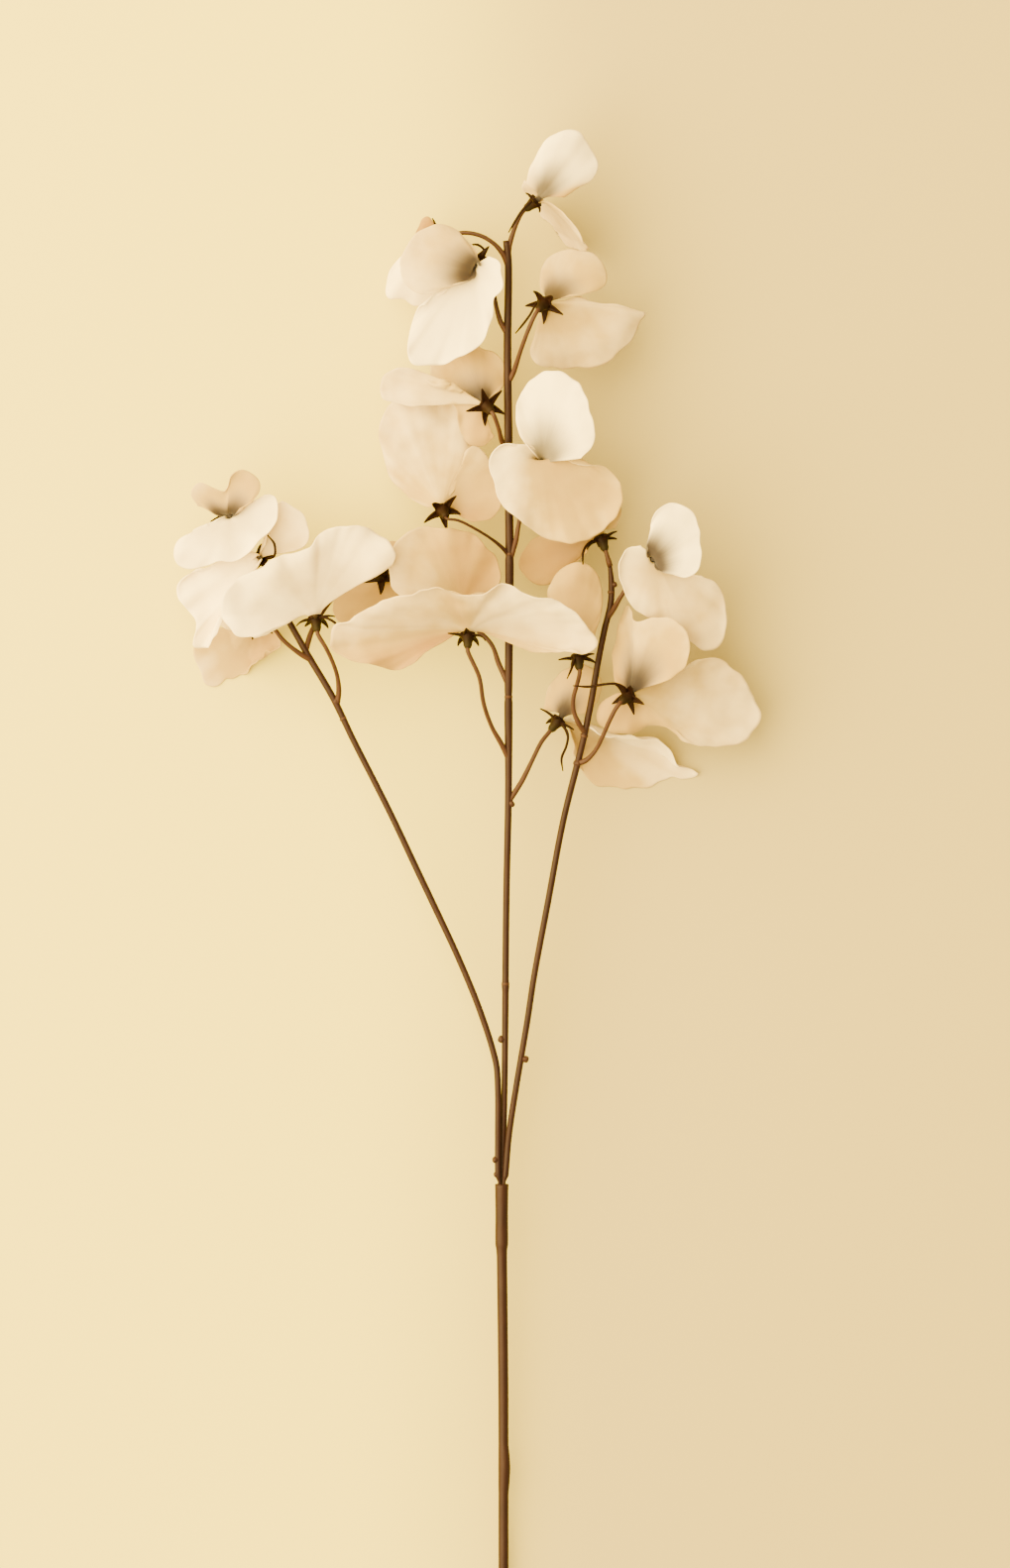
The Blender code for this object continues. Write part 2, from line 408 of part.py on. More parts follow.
        "wings_rows": SMALL_ROWS,
    },
    "l2": {
        "spray": "left", "mouth": (-126.0, 541.0, 31.0), "faces": (-0.6, 0.3, -0.7), "turn": 0,
        "pedicel": [(-99.5, 520.5, 33.9), (-104.5, 523.3, 36.0), (-110.0, 527.3, 38.5), (-114.5, 531.5, 39.8), (-117.5, 535.5, 40.0)],
        "standard": [
            (-117.0, 533.0, 24.0), (-112.5, 529.5, 20.0), (-113.0, 523.5, 15.0), (-119.0, 519.0, 10.0),
            (-126.0, 515.5, 4.0), (-133.0, 510.5, -1.0), (-142.0, 507.5, -4.0), (-151.0, 508.5, -5.0),
            (-156.5, 515.0, -5.0), (-156.0, 525.0, -3.0), (-153.0, 534.0, 3.0),
        ],
        "standard_bow": (0.0, 0.0, -0.7),
        "standard_rows": RESTING_ROWS,
        "wings": [
            (-131.0, 549.5, 25.0), (-138.0, 553.0, 21.0), (-145.5, 550.5, 18.0), (-148.5, 543.5, 17.0),
            (-144.0, 537.0, 18.0), (-137.0, 534.5, 20.0),
        ],
        "wings_bow": (0.0, 0.0, 0.04),
        "wings_rows": SMALL_ROWS,
    },
    "l3": {
        "spray": "left", "mouth": (-140.5, 593.5, 48.0), "faces": (-0.1, 0.3, 0.94), "turn": 0,
        "pedicel": [(-140.0, 584.5, 31.0), (-139.9, 588.0, 35.0)],
        "standard": [
            (-130.0, 600.0, 54.0), (-123.0, 603.5, 55.0), (-117.5, 602.0, 55.0), (-117.0, 593.5, 54.0),
            (-120.0, 585.5, 53.0), (-125.5, 580.5, 52.0), (-130.0, 574.5, 51.0), (-136.0, 570.8, 50.5),
            (-145.0, 570.3, 50.5), (-154.0, 568.0, 50.5), (-162.5, 566.5, 50.0), (-168.0, 573.0, 49.5),
            (-166.0, 580.5, 49.5), (-158.5, 585.0, 50.0), (-151.0, 588.0, 51.0),
        ],
        "standard_bow": (0.0, 0.0, 0.02),
        "wings": [
            (-134.0, 598.0, 57.0), (-129.0, 600.8, 58.5), (-125.0, 606.5, 60.0), (-127.5, 613.5, 61.0),
            (-134.0, 616.5, 61.0), (-140.0, 613.0, 60.0), (-143.0, 605.0, 58.0), (-149.0, 607.0, 58.5),
            (-156.0, 609.0, 58.5), (-160.0, 604.0, 57.5), (-156.0, 598.0, 56.5),
        ],
        "wings_bow": (0.0, 0.0, 0.08),
    },
    "l4": {
        "spray": "left", "mouth": (-125.5, 572.0, 40.0), "faces": (-0.25, 0.15, 0.95), "turn": 0,
        "pedicel": [(-116.0, 548.5, 32.8), (-119.5, 557.0, 31.0), (-121.8, 564.0, 29.0)],
        "tail": [(-122.3, 571.5, 41.5), (-118.0, 573.0, 46.5), (-118.0, 579.0, 48.3), (-121.5, 583.5, 48.3)],
        "standard": [
            (-133.0, 567.5, 43.5), (-142.0, 566.5, 42.0), (-152.0, 565.5, 40.5), (-161.5, 564.3, 39.0),
            (-166.8, 558.5, 38.0), (-166.0, 552.0, 38.0), (-161.5, 546.0, 37.0), (-158.0, 539.0, 36.0),
            (-159.0, 528.0, 34.0), (-155.5, 527.0, 34.0), (-150.5, 536.5, 37.0), (-145.0, 545.0, 39.5),
            (-137.5, 552.0, 41.5), (-131.0, 559.0, 43.0),
        ],
        "standard_bow": (0.0, 0.0, 0.02),
        "wings": [
            (-122.5, 579.5, 45.0), (-121.0, 588.0, 44.5), (-118.5, 596.5, 44.0), (-114.0, 600.5, 44.0),
            (-108.0, 597.5, 44.0), (-102.5, 592.5, 44.0), (-100.0, 585.5, 44.0), (-102.0, 579.0, 44.0),
            (-107.5, 575.5, 44.5),
        ],
        "wings_bow": (0.0, 0.0, 0.02),
        "wings_rows": SMALL_ROWS,
    },
    "l5": {
        "spray": "left", "mouth": (-64.0, 563.0, 27.0), "faces": (0.3, -0.2, -0.92), "turn": 0,
        "pedicel": [(-102.5, 525.0, 34.0), (-99.0, 536.0, 30.5), (-91.0, 549.0, 29.5), (-81.0, 559.0, 31.5), (-72.5, 564.3, 36.0)],
        "standard": [
            (-74.0, 569.0, 20.0), (-82.5, 563.0, 17.0), (-88.0, 554.5, 15.0), (-90.0, 546.0, 14.0),
            (-86.5, 539.5, 13.0), (-78.0, 538.5, 12.5), (-69.5, 541.0, 12.5), (-61.5, 545.0, 13.0),
            (-55.5, 549.5, 14.5), (-53.0, 556.0, 17.0),
        ],
        "standard_bow": (0.0, 0.0, 0.0),
        "wings": [
            (-54.5, 562.0, 20.0), (-49.5, 568.0, 17.0), (-48.5, 575.0, 15.0), (-53.5, 580.0, 15.0),
            (-61.0, 580.5, 16.0), (-67.5, 575.5, 18.5),
        ],
        "wings_bow": (0.0, 0.0, 0.0),
        "wings_rows": SMALL_ROWS,
    },
}


def clear_scene():
    for obj in list(bpy.data.objects):
        bpy.data.objects.remove(obj)


def new_collection(name):
    collection = bpy.data.collections.new(name)
    bpy.context.scene.collection.children.link(collection)
    return collection


def material(name, colour, roughness):
    finish = bpy.data.materials.new(name)
    finish.use_nodes = True
    shader = finish.node_tree.nodes["Principled BSDF"]
    shader.inputs["Base Color"].default_value = (*colour, 1.0)
    shader.inputs["Roughness"].default_value = roughness
    shader.inputs["Metallic"].default_value = 0.0
    finish.diffuse_color = (*colour, 1.0)
    return finish


def new_object(name, data, collection):
    obj = bpy.data.objects.new(name, data)
    collection.objects.link(obj)
    return obj


def made_mesh(obj):
    """The object's mesh as its curve and modifiers shape it, with loose caps welded."""
    bpy.context.view_layer.update()
    mesh = bpy.data.meshes.new_from_object(obj.evaluated_get(bpy.context.evaluated_depsgraph_get()))
    grid = bmesh.new()
    grid.from_mesh(mesh)
    bmesh.ops.remove_doubles(grid, verts=grid.verts, dist=0.00001)
    grid.to_mesh(mesh)
    grid.free()
    return mesh


def as_solid(obj, collection):
    """A plain mesh object in the place of one that holds a curve or modifiers."""
    name = obj.name
    mesh = made_mesh(obj)
    place = obj.matrix_world.copy()
    bpy.data.objects.remove(obj)
    solid = new_object(name, mesh, collection)
    solid.matrix_world = place
    return solid


def union(name, solids, collection, finish, solver="EXACT"):
    """One body from several solids that run into each other."""
    first, *others = solids
    if others:
        joined = new_collection(name + "_joined")
        for solid in others:
            collection.objects.unlink(solid)
            joined.objects.link(solid)
        join = first.modifiers.new("join", "BOOLEAN")
        join.operation = "UNION"
        join.operand_type = "COLLECTION"
        join.collection = joined
        join.solver = solver
        mesh = made_mesh(first)
        first.modifiers.clear()
        first.data = mesh
        for solid in others:
            bpy.data.objects.remove(solid)
        bpy.data.collections.remove(joined)
    first.name = name
    first.data.name = name
    first.data.materials.clear()
    first.data.materials.append(finish)
    first.data.shade_smooth()
    first.data.set_sharp_from_angle(angle=math.radians(40))
    return first


def between(before, start, end, after, share):
    """A point on the smooth curve from start to end, which leans on the points before and after them."""
    a = (end - before) * 0.5
    b = (after - start) * 0.5
    cube = share ** 3
    square = share ** 2
    return (
        start * (2 * cube - 3 * square + 1)
        + a * (cube - 2 * square + share)
        + end * (3 * square - 2 * cube)
        + b * (cube - square)
    )


def smooth_route(stops, step):
    """Places and radii along a smooth curve through all the stops, about one step apart."""
    places = [Vector(stop[:3]) for stop in stops]
    route = []
    for i in range(len(stops) - 1):
        before = places[max(i - 1, 0)]
        after = places[min(i + 2, len(places) - 1)]
        parts = max(1, round((places[i + 1] - places[i]).length / step))
        for part in range(parts):
            share = part / parts
            radius = stops[i][3] * (1 - share) + stops[i + 1][3] * share
            route.append((between(before, places[i], places[i + 1], after, share), radius))
    route.append((places[-1], stops[-1][3]))
    return route


def tube(name, stops, sides, collection, step=ROUTE_STEP):
    """A solid rod of changing radius along a smooth route."""
    route = smooth_route(stops, step)
    curve = bpy.data.curves.new(name, "CURVE")
    curve.dimensions = "3D"
    curve.bevel_depth = MM
    curve.bevel_resolution = sides // 2 - 2
    curve.use_fill_caps = True
    spline = curve.splines.new("POLY")
    spline.points.add(len(route) - 1)
    for point, (place, radius) in zip(spline.points, route):
        point.co = (*(place * MM), 1.0)
        point.radius = radius
    return as_solid(new_object(name, curve, collection), collection)


def knob(place, radius, collection):
    """A small rounded swelling, where a shoot was cut away."""
    grid = bmesh.new()
    bmesh.ops.create_icosphere(grid, subdivisions=1, radius=radius * MM)
    mesh = bpy.data.meshes.new("knob")
    grid.to_mesh(mesh)
    grid.free()
    mesh.transform(Matrix.Translation(Vector(place) * MM))
    return new_object("knob", mesh, collection)


def facing(direction):
    """The turn that takes +Z to a direction."""
    return Vector(direction).to_track_quat("Z", "Y")


def calyx_base(flower):
    return Vector(flower["mouth"]) - Vector(flower["faces"]).normalized() * CALYX_HEIGHT


def turned_cup(collection):
    """The calyx tube and cup, turned round its own axis, with its base at the origin."""
    profile = [
        (0.0, CUP_FLOOR), (CUP_BORE, CUP_FLOOR), (CUP_BORE, CALYX_HEIGHT), (CUP_RADIUS, CALYX_HEIGHT),
        (0.94 * CUP_RADIUS, 0.78 * CALYX_HEIGHT), (TUBE_RADIUS, 0.0),
        (TUBE_BORE, 0.0), (TUBE_BORE, TUBE_BORE_DEPTH), (0.0, TUBE_BORE_DEPTH),
    ]
    mesh = bpy.data.meshes.new("cup")
    mesh.from_pydata(
        [(x * MM, 0.0, z * MM) for x, z in profile], [(i, i + 1) for i in range(len(profile) - 1)], []
    )
    cup = new_object("cup", mesh, collection)
    turn = cup.modifiers.new("turn", "SCREW")
    turn.steps = CALYX_SIDES
    turn.render_steps = CALYX_SIDES
    turn.use_merge_vertices = True
    turn.merge_threshold = 0.00001
    return as_solid(cup, collection)


def sepal(angle, collection):
    """One pointed sepal at the cup's rim, bent back from the mouth."""
    grid = bmesh.new()
    bmesh.ops.create_cone(
        grid, cap_ends=True, segments=4, radius1=SEPAL_WIDTH / 2 * MM, radius2=SEPAL_TIP_WIDTH / 2 * MM,
        depth=SEPAL_LENGTH * MM,
    )
    mesh = bpy.data.meshes.new("sepal")
    grid.to_mesh(mesh)
    grid.free()
    blade = new_object("sepal", mesh, collection)
    outward = Vector((math.cos(angle), math.sin(angle), 0.0))
    along = outward * math.cos(SEPAL_REFLEX) - Vector((0.0, 0.0, math.sin(SEPAL_REFLEX)))
    across = Vector((-math.sin(angle), math.cos(angle), 0.0))
    through = along.cross(across) * SEPAL_FLATNESS
    root = outward * (CUP_BORE + 0.3) + Vector((0.0, 0.0, CALYX_HEIGHT - 0.9))
    middle = root + along * SEPAL_LENGTH / 2
    for vertex in mesh.vertices:
        x, y, z = vertex.co
        vertex.co = middle * MM + across * x + through * y + along * z
    return blade


def calyx(name, flower, collection, finish):
    """The cup with its five sepals and, where the flower has one, its long thread-like sepal."""
    solids = [turned_cup(collection)]
    for i in range(SEPALS):
        angle = math.radians(flower["turn"]) + i * math.tau / SEPALS
        solids.append(sepal(angle, collection))
    place = facing(flower["faces"]).to_matrix().to_4x4()
    place.translation = calyx_base(flower) * MM
    for solid in solids:
        solid.data.transform(place)
        if solid.data.polygons and solid.name.startswith("sepal"):
            outward_normals(solid.data)
    if "tail" in flower:
        faces = Vector(flower["faces"]).normalized()
        level = Vector(flower["mouth"]) - faces * TAIL_DEPTH
        outward = Vector(flower["tail"][0]) - level
        outward = (outward - faces * outward.dot(faces)).normalized()
        root = level + outward * (CUP_BORE + TAIL_RADIUS)
        stops = [(*root, TAIL_RADIUS)] + [(*stop, TAIL_RADIUS) for stop in flower["tail"][:-1]]
        stops.append((*flower["tail"][-1], TAIL_TIP_RADIUS))
        solids.append(tube("tail", stops, 4, collection))
    return union(name, solids, collection, finish)


def outward_normals(mesh):
    grid = bmesh.new()
    grid.from_mesh(mesh)
    bmesh.ops.recalc_face_normals(grid, faces=grid.faces)
    grid.to_mesh(mesh)
    grid.free()


def petal(rim, bow, rows, flower, rise, collection):
    """One petal: ribs rise from its claw in the calyx mouth, spread, and end along the rim."""
    faces = Vector(flower["faces"]).normalized()
    rim = [Vector(stop) for stop in rim]
    middle = sum(rim, Vector()) / len(rim) - Vector(flower["mouth"])
    toward = (middle - faces * middle.dot(faces)).normalized()
    throat = Vector(flower["mouth"]) + faces * rise + toward * CLAW_APART
    claw = throat + faces * CLAW_LENGTH
    lift = Vector(bow)
    lowest = PETAL_THICKNESS / 2
    grid = bmesh.new()
    apex = grid.verts.new(throat * MM)
    ribs = []
    for end in rim:
        belly = throat + (end - throat) * BELLY + lift * (end - throat).length
        rib = []
        for t in rows:
            u = 1 - t
            point = throat * u ** 3 + claw * 3 * u * u * t + belly * 3 * u * t * t + end * t ** 3
            point.z = max(point.z, lowest)
            rib.append(grid.verts.new(point * MM))
        ribs.append(rib)
    for one, other in zip(ribs, ribs[1:]):
        grid.faces.new((apex, one[0], other[0]))
        for j in range(len(rows) - 1):
            grid.faces.new((one[j], one[j + 1], other[j + 1], other[j]))
    bmesh.ops.triangulate(grid, faces=grid.faces, quad_method="SHORT_EDGE")
    mesh = bpy.data.meshes.new("petal")
    grid.to_mesh(mesh)
    grid.free()
    sheet = new_object("petal", mesh, collection)
    thicken = sheet.modifiers.new("thicken", "SOLIDIFY")
    thicken.thickness = PETAL_THICKNESS * MM
    thicken.offset = 0.0
    solid = as_solid(sheet, collection)
    outward_normals(solid.data)
    for vertex in solid.data.vertices:
        if vertex.co.z < PRESSED_FLAT * MM:
            vertex.co.z = 0.0
    return solid


def plug(flower, collection):
    """The claws' common root, which sits in the calyx cup."""
    depth = CALYX_HEIGHT - CUP_FLOOR - SEAT_GAP + PLUG_RISE
    faces = Vector(flower["faces"]).normalized()
    grid = bmesh.new()
    bmesh.ops.create_cone(
        grid, cap_ends=True, segments=CALYX_SIDES, radius1=PLUG_RADIUS * MM, radius2=PLUG_RADIUS * MM,
        depth=depth * MM,
    )
    mesh = bpy.data.meshes.new("plug")
    grid.to_mesh(mesh)
    grid.free()
    place = facing(faces).to_matrix().to_4x4()
    place.translation = (Vector(flower["mouth"]) + faces * (PLUG_RISE - depth / 2)) * MM
    mesh.transform(place)
    return new_object("plug", mesh, collection)


def bloom(name, flower, collection, finish):
    rows = flower.get("standard_rows", PETAL_ROWS)
    standard = petal(flower["standard"], flower["standard_bow"], rows, flower, STANDARD_RISE, collection)
    rows = flower.get("wings_rows", PETAL_ROWS)
    wings = petal(flower["wings"], flower["wings_bow"], rows, flower, WINGS_RISE, collection)
    return union(name, [plug(flower, collection), standard, wings], collection, finish, "MANIFOLD")


def pedicel(flower, collection):
    """The thin stalk from the spray stem to the socket under the calyx."""
    faces = Vector(flower["faces"]).normalized()
    base = calyx_base(flower)
    stops = [(*stop, PEDICEL_RADIUS) for stop in flower["pedicel"]]
    stops.append((*(base - faces * 1.5), PEDICEL_RADIUS))
    stops.append((*(base + faces * (TUBE_BORE_DEPTH - SEAT_GAP)), PEDICEL_RADIUS))
    return tube("pedicel", stops, 6, collection)


def spray_stem(spray, collection, finish):
    """One spray stem with the pedicels and knobs that are moulded on it."""
    solids = [tube("stem", SPRAYS[spray], 8, collection)]
    solids += [pedicel(flower, collection) for flower in FLOWERS.values() if flower["spray"] == spray]
    solids += [knob(place, radius, collection) for stem, place, radius in KNOBS if stem == spray]
    return union(spray + "_spray_stem", solids, collection, finish)


def main_stem(collection, cutters, finish):
    """The main stem, with the blind socket that the three spray stems are pressed into."""
    stem = tube("main_stem", MAIN_STEM, 8, collection, 30.0)
    stem.data.materials.append(finish)
    top = Vector(MAIN_STEM[-1][:3])
    along = (top - Vector(MAIN_STEM[-2][:3])).normalized()
    stops = [(*(top - along * SOCKET_DEPTH), SOCKET_RADIUS), (*(top + along * 2.0), SOCKET_RADIUS)]
    socket = tube("socket_cutter", stops, 8, cutters)
    socket.hide_render = True
    socket.display_type = "WIRE"
    cut = stem.modifiers.new("socket", "BOOLEAN")
    cut.operation = "DIFFERENCE"
    cut.object = socket
    cut.solver = "EXACT"
    stem.data.shade_smooth()
    stem.data.set_sharp_from_angle(angle=math.radians(40))
    return stem


clear_scene()
parts = new_collection("sweet_pea_stem")
cutters = new_collection("cutters")
stem_brown = material("stem_brown", (0.10, 0.035, 0.012), 0.5)
calyx_brown = material("calyx_brown", (0.05, 0.022, 0.006), 0.6)
petal_ivory = material("petal_ivory", (0.90, 0.80, 0.68), 0.85)

nodes = [main_stem(parts, cutters, stem_brown)]
nodes += [spray_stem(spray, parts, stem_brown) for spray in SPRAYS]
for key, row in FLOWERS.items():
    nodes.append(calyx("calyx_" + key, row, parts, calyx_brown))
    nodes.append(bloom("bloom_" + key, row, parts, petal_ivory))

frame = new_object("spray_frame", None, parts)
frame.location = (-FRAME_CENTRE[0] * MM, -FRAME_CENTRE[1] * MM, 0.0)
for node in nodes + list(cutters.objects):
    node.parent = frame
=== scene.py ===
"""An artificial sweet pea spray, photographed from straight above on a pale table.

Lengths in the tables are millimetres, measured from the cut end of the main stem: x to the right,
y along the stem, z up from the table.
"""

import math

import bpy
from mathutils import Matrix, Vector, noise


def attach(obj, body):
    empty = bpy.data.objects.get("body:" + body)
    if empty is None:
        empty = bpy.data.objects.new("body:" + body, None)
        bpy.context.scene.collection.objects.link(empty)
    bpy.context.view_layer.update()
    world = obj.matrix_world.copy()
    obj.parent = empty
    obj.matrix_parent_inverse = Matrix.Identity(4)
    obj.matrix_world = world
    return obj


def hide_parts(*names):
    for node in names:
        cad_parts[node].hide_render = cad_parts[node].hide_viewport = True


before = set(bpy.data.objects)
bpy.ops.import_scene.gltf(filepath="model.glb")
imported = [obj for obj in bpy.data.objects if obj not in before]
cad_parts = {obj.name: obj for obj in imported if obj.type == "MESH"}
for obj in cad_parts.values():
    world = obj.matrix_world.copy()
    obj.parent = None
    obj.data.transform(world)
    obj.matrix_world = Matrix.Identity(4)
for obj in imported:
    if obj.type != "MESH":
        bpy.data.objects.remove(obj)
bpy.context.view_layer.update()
bpy.ops.object.select_all(action="DESELECT")

# ----------------------------------------------------------------------------
# The table, the light and the camera. The spray lies on a sheet of cream card, lit by one large
# soft lamp from the upper left and by pale walls all round, and the camera looks straight down on
# it from eight metres.

# The row's frame is in metres and has its origin on the table under the middle of the spray.
MM = 0.001
OUTLINE_CENTRE = (-20.5, 393.75)

# The card's colours at its left and its right, where the one turns into the other, and its marks.
# The darker right is painted shade: the lamp's light falling off, and the spray's soft shadow.
CARD_SIZE = 5.0
CARD_LEFT = (0.65, 0.570, 0.088, 1.0)
CARD_RIGHT = (0.40, 0.335, 0.118, 1.0)
CARD_TURNS = (-0.065, 0.080)
CARD_CLOUDS = 1.3
CARD_GRAIN = 900.0

# Where the lamp and the camera stand, and how high the picture is at the level of the petals.
LAMP_SPOT = (-1500.0, 900.0, 1750.0)
LAMP_AIM = (-20.0, 560.0, 30.0)
CAMERA_SPOT = (-1.75, 458.0, 8000.0)
PICTURE_HEIGHT = 791.0
PICTURE_PLANE = 40.0
SENSOR = 36.0


def place(x, y, z):
    """A point of the tables in the row's own frame, in metres."""
    return Vector(((x - OUTLINE_CENTRE[0]) * MM, (y - OUTLINE_CENTRE[1]) * MM, z * MM))


def fill(made, sockets):
    """Gives the sockets of a node their values and links."""
    for name, value in sockets.items():
        if isinstance(value, Wire):
            value.tree.links.new(value.socket, made.inputs[name])
        else:
            made.inputs[name].default_value = value


def node(tree, kind, sockets, output=0, **settings):
    """A new node with its settings, then its values and links, as one of its outputs."""
    made = tree.nodes.new(kind)
    for name, value in settings.items():
        setattr(made, name, value)
    fill(made, sockets)
    return Wire(tree, made.outputs[output])


class Wire:
    """A shader socket that can be added, multiplied and subtracted like a number."""

    def __init__(self, tree, socket):
        self.tree = tree
        self.socket = socket

    def maths(self, operation, *others):
        sockets = dict(enumerate((self, *others)))
        return node(self.tree, "ShaderNodeMath", sockets, operation=operation)

    def __add__(self, other):
        return self.maths("ADD", other)

    __radd__ = __add__

    def __mul__(self, other):
        return self.maths("MULTIPLY", other)

    __rmul__ = __mul__

    def __sub__(self, other):
        return self.maths("SUBTRACT", other)

    def __rsub__(self, other):
        return self.maths("MULTIPLY_ADD", -1.0, other)

    def between(self, low, high):
        """0 below low, 1 above high, and a soft step from one to the other."""
        sockets = {"Value": self, "From Min": low, "From Max": high}
        return node(self.tree, "ShaderNodeMapRange", sockets, interpolation_type="SMOOTHSTEP")

    def mixed(self, one, other):
        """The colour one where the number is 0, and other where it is 1."""
        sockets = {"Factor": self, 6: one, 7: other}
        return node(self.tree, "ShaderNodeMix", sockets, 2, data_type="RGBA", clamp_factor=True)

    def stretched(self, scale):
        """These coordinates, drawn out by a scale for each direction."""
        return node(self.tree, "ShaderNodeMapping", {"Vector": self, "Scale": scale})

    def speckle(self, scale, detail=2.0, roughness=0.5):
        """Noise on these coordinates, from 0 to 1."""
        sockets = {"Vector": self, "Scale": scale, "Detail": detail, "Roughness": roughness}
        return node(self.tree, "ShaderNodeTexNoise", sockets)

    def relief(self, strength, distance):
        """A surface raised by this number."""
        sockets = {"Height": self, "Strength": strength, "Distance": distance}
        return node(self.tree, "ShaderNodeBump", sockets)


def new_finish(name):
    """An empty node material, its tree, its Principled shader and its Object coordinates."""
    finish = bpy.data.materials.new(name)
    finish.use_nodes = True
    tree = finish.node_tree
    spot = node(tree, "ShaderNodeTexCoord", {}, "Object")
    return finish, tree, tree.nodes["Principled BSDF"], spot


def card_finish():
    """Cream card, with painted shade that deepens it to beige from left to right, away from the
    lamp.
    """
    finish, tree, shader, spot = new_finish("cream_card")
    across = node(tree, "ShaderNodeSeparateXYZ", {0: spot}, "X")
    # Painted shade: the card darkens from left to right, away from the lamp and into the spray's
    # shadow.
    deep = (across + (spot.speckle(CARD_CLOUDS, 1.0) - 0.5) * 0.04).between(*CARD_TURNS)
    fill(shader, {
        "Base Color": deep.mixed(CARD_LEFT, CARD_RIGHT),
        "Roughness": 0.9,
        "Normal": spot.speckle(CARD_GRAIN).relief(0.08, 0.0004),
    })
    return finish


bpy.ops.mesh.primitive_plane_add(size=CARD_SIZE, location=(0.0, 0.0, 0.0))
card = bpy.context.object
card.name = "table_card"
card.data.materials.append(card_finish())

bpy.ops.object.light_add(type="AREA", location=place(*LAMP_SPOT))
lamp = bpy.context.object
lamp.name = "soft_lamp"
lamp.data.shape = "DISK"
lamp.data.size = 4.6
lamp.data.energy = 860.0
lamp.data.color = (1.0, 0.745, 0.30)
lamp.rotation_mode = "QUATERNION"
lamp.rotation_quaternion = (place(*LAMP_AIM) - lamp.location).to_track_quat("-Z", "Y")

room = bpy.data.worlds.new("pale_room")
room.use_nodes = True
fill(room.node_tree.nodes["Background"], {"Color": (1.0, 0.76, 0.33, 1.0), "Strength": 1.63})
bpy.context.scene.world = room

bpy.ops.object.camera_add(location=place(*CAMERA_SPOT), rotation=(0.0, 0.0, 0.0))
camera = bpy.context.object
camera.name = "camera"
camera.data.sensor_width = SENSOR
camera.data.lens = SENSOR * (CAMERA_SPOT[2] - PICTURE_PLANE) / PICTURE_HEIGHT
camera.data.clip_end = 20.0
bpy.context.scene.camera = camera

# ----------------------------------------------------------------------------
# The main stem. A wire core dipped in dark brown plastic, with a swelling low down and a thicker
# sheath at the top that the three spray stems are pushed into.

# Stops along the middle of the stem, each with the stem's radius there.
MAIN_STEM = [
    (-2.5, 0.0, 2.6, 2.5), (-2.5, 62.0, 6.8, 2.55), (-2.5, 99.0, 9.4, 2.55),
    (-2.3, 104.0, 9.8, 2.85), (-2.1, 112.0, 10.2, 3.05), (-2.3, 119.0, 10.7, 2.8),
    (-2.5, 123.0, 11.0, 2.55), (-2.6, 153.0, 13.0, 2.6), (-3.3, 219.0, 17.5, 2.65),
    (-3.4, 222.5, 17.8, 2.8), (-3.4, 225.0, 18.0, 3.25), (-3.4, 228.0, 18.1, 3.3),
    (-3.4, 240.0, 18.9, 3.2), (-3.4, 252.0, 19.7, 3.35), (-3.4, 255.6, 20.0, 3.45),
]

# How many sides a rod has, and how long its steps are; how close points are when they are welded.
MAIN_DETAIL = (18, 3.0)
WELD = 0.00001

# The darkest and the lightest of each plastic, how pale the stem is from 0 for dark brown to 1 for
# tan, and how fine the marks on it are.
DARK_BROWN = (0.0095, 0.0030, 0.0027, 1.0), (0.0235, 0.0076, 0.0054, 1.0)
TAN = (0.023, 0.0094, 0.0062, 1.0), (0.059, 0.0265, 0.0158, 1.0)
MAIN_PALE = 0.02
STREAKS = 420.0
STREAK_SCALE = (1.0, 0.16, 1.0)
PATCHES = 55.0


def smooth_route(stops, step):
    """Places and radii about one step apart, on a curve that runs smoothly through the stops."""
    places = [Vector(stop[:3]) for stop in stops]
    spans = [(b - a).length for a, b in zip(places, places[1:])]
    slopes = []
    for i in range(len(places)):
        if i == 0:
            slopes.append((places[1] - places[0]) / spans[0])
        elif i == len(places) - 1:
            slopes.append((places[-1] - places[-2]) / spans[-1])
        else:
            slopes.append((places[i + 1] - places[i - 1]) / (spans[i - 1] + spans[i]))
    route = []
    for i, span in enumerate(spans):
        parts = max(2, round(span / step))
        for part in range(parts):
            t = part / parts
            soft = t * t * (3 - 2 * t)
            point = (
                places[i] * (1 - soft)
                + places[i + 1] * soft
                + slopes[i] * span * (t ** 3 - 2 * t ** 2 + t)
                + slopes[i + 1] * span * (t ** 3 - t ** 2)
            )
            route.append((point, stops[i][3] * (1 - soft) + stops[i + 1][3] * soft))
    route.append((places[-1], stops[-1][3]))
    return route


def rod(name, stops, sides, step):
    """A round rod along a smooth route, closed at both ends."""
    route = smooth_route(stops, step)
    curve = bpy.data.curves.new(name, "CURVE")
    curve.dimensions = "3D"
    curve.bevel_depth = MM
    curve.bevel_resolution = sides // 2 - 2
    curve.use_fill_caps = True
    line = curve.splines.new("POLY")
    line.points.add(len(route) - 1)
    for point, (spot, radius) in zip(line.points, route):
        point.co = (*place(*spot), 1.0)
        point.radius = radius
    made = bpy.data.objects.new(name, curve)
    bpy.context.collection.objects.link(made)
    bpy.context.view_layer.objects.active = made
    made.select_set(True)
    bpy.ops.object.convert(target="MESH")
    made = bpy.context.object
    bpy.ops.object.mode_set(mode="EDIT")
    bpy.ops.mesh.select_all(action="SELECT")
    bpy.ops.mesh.remove_doubles(threshold=WELD)
    bpy.ops.object.mode_set(mode="OBJECT")
    made.select_set(False)
    return made


def paint(made, layer, shades):
    """Stores one shade for all the points of a mesh, or one for each, for its finish to read."""
    points = made.data.attributes.new(layer, "FLOAT", "POINT").data
    for i, point in enumerate(points):
        point.value = shades[i] if isinstance(shades, list) else shades
    return made


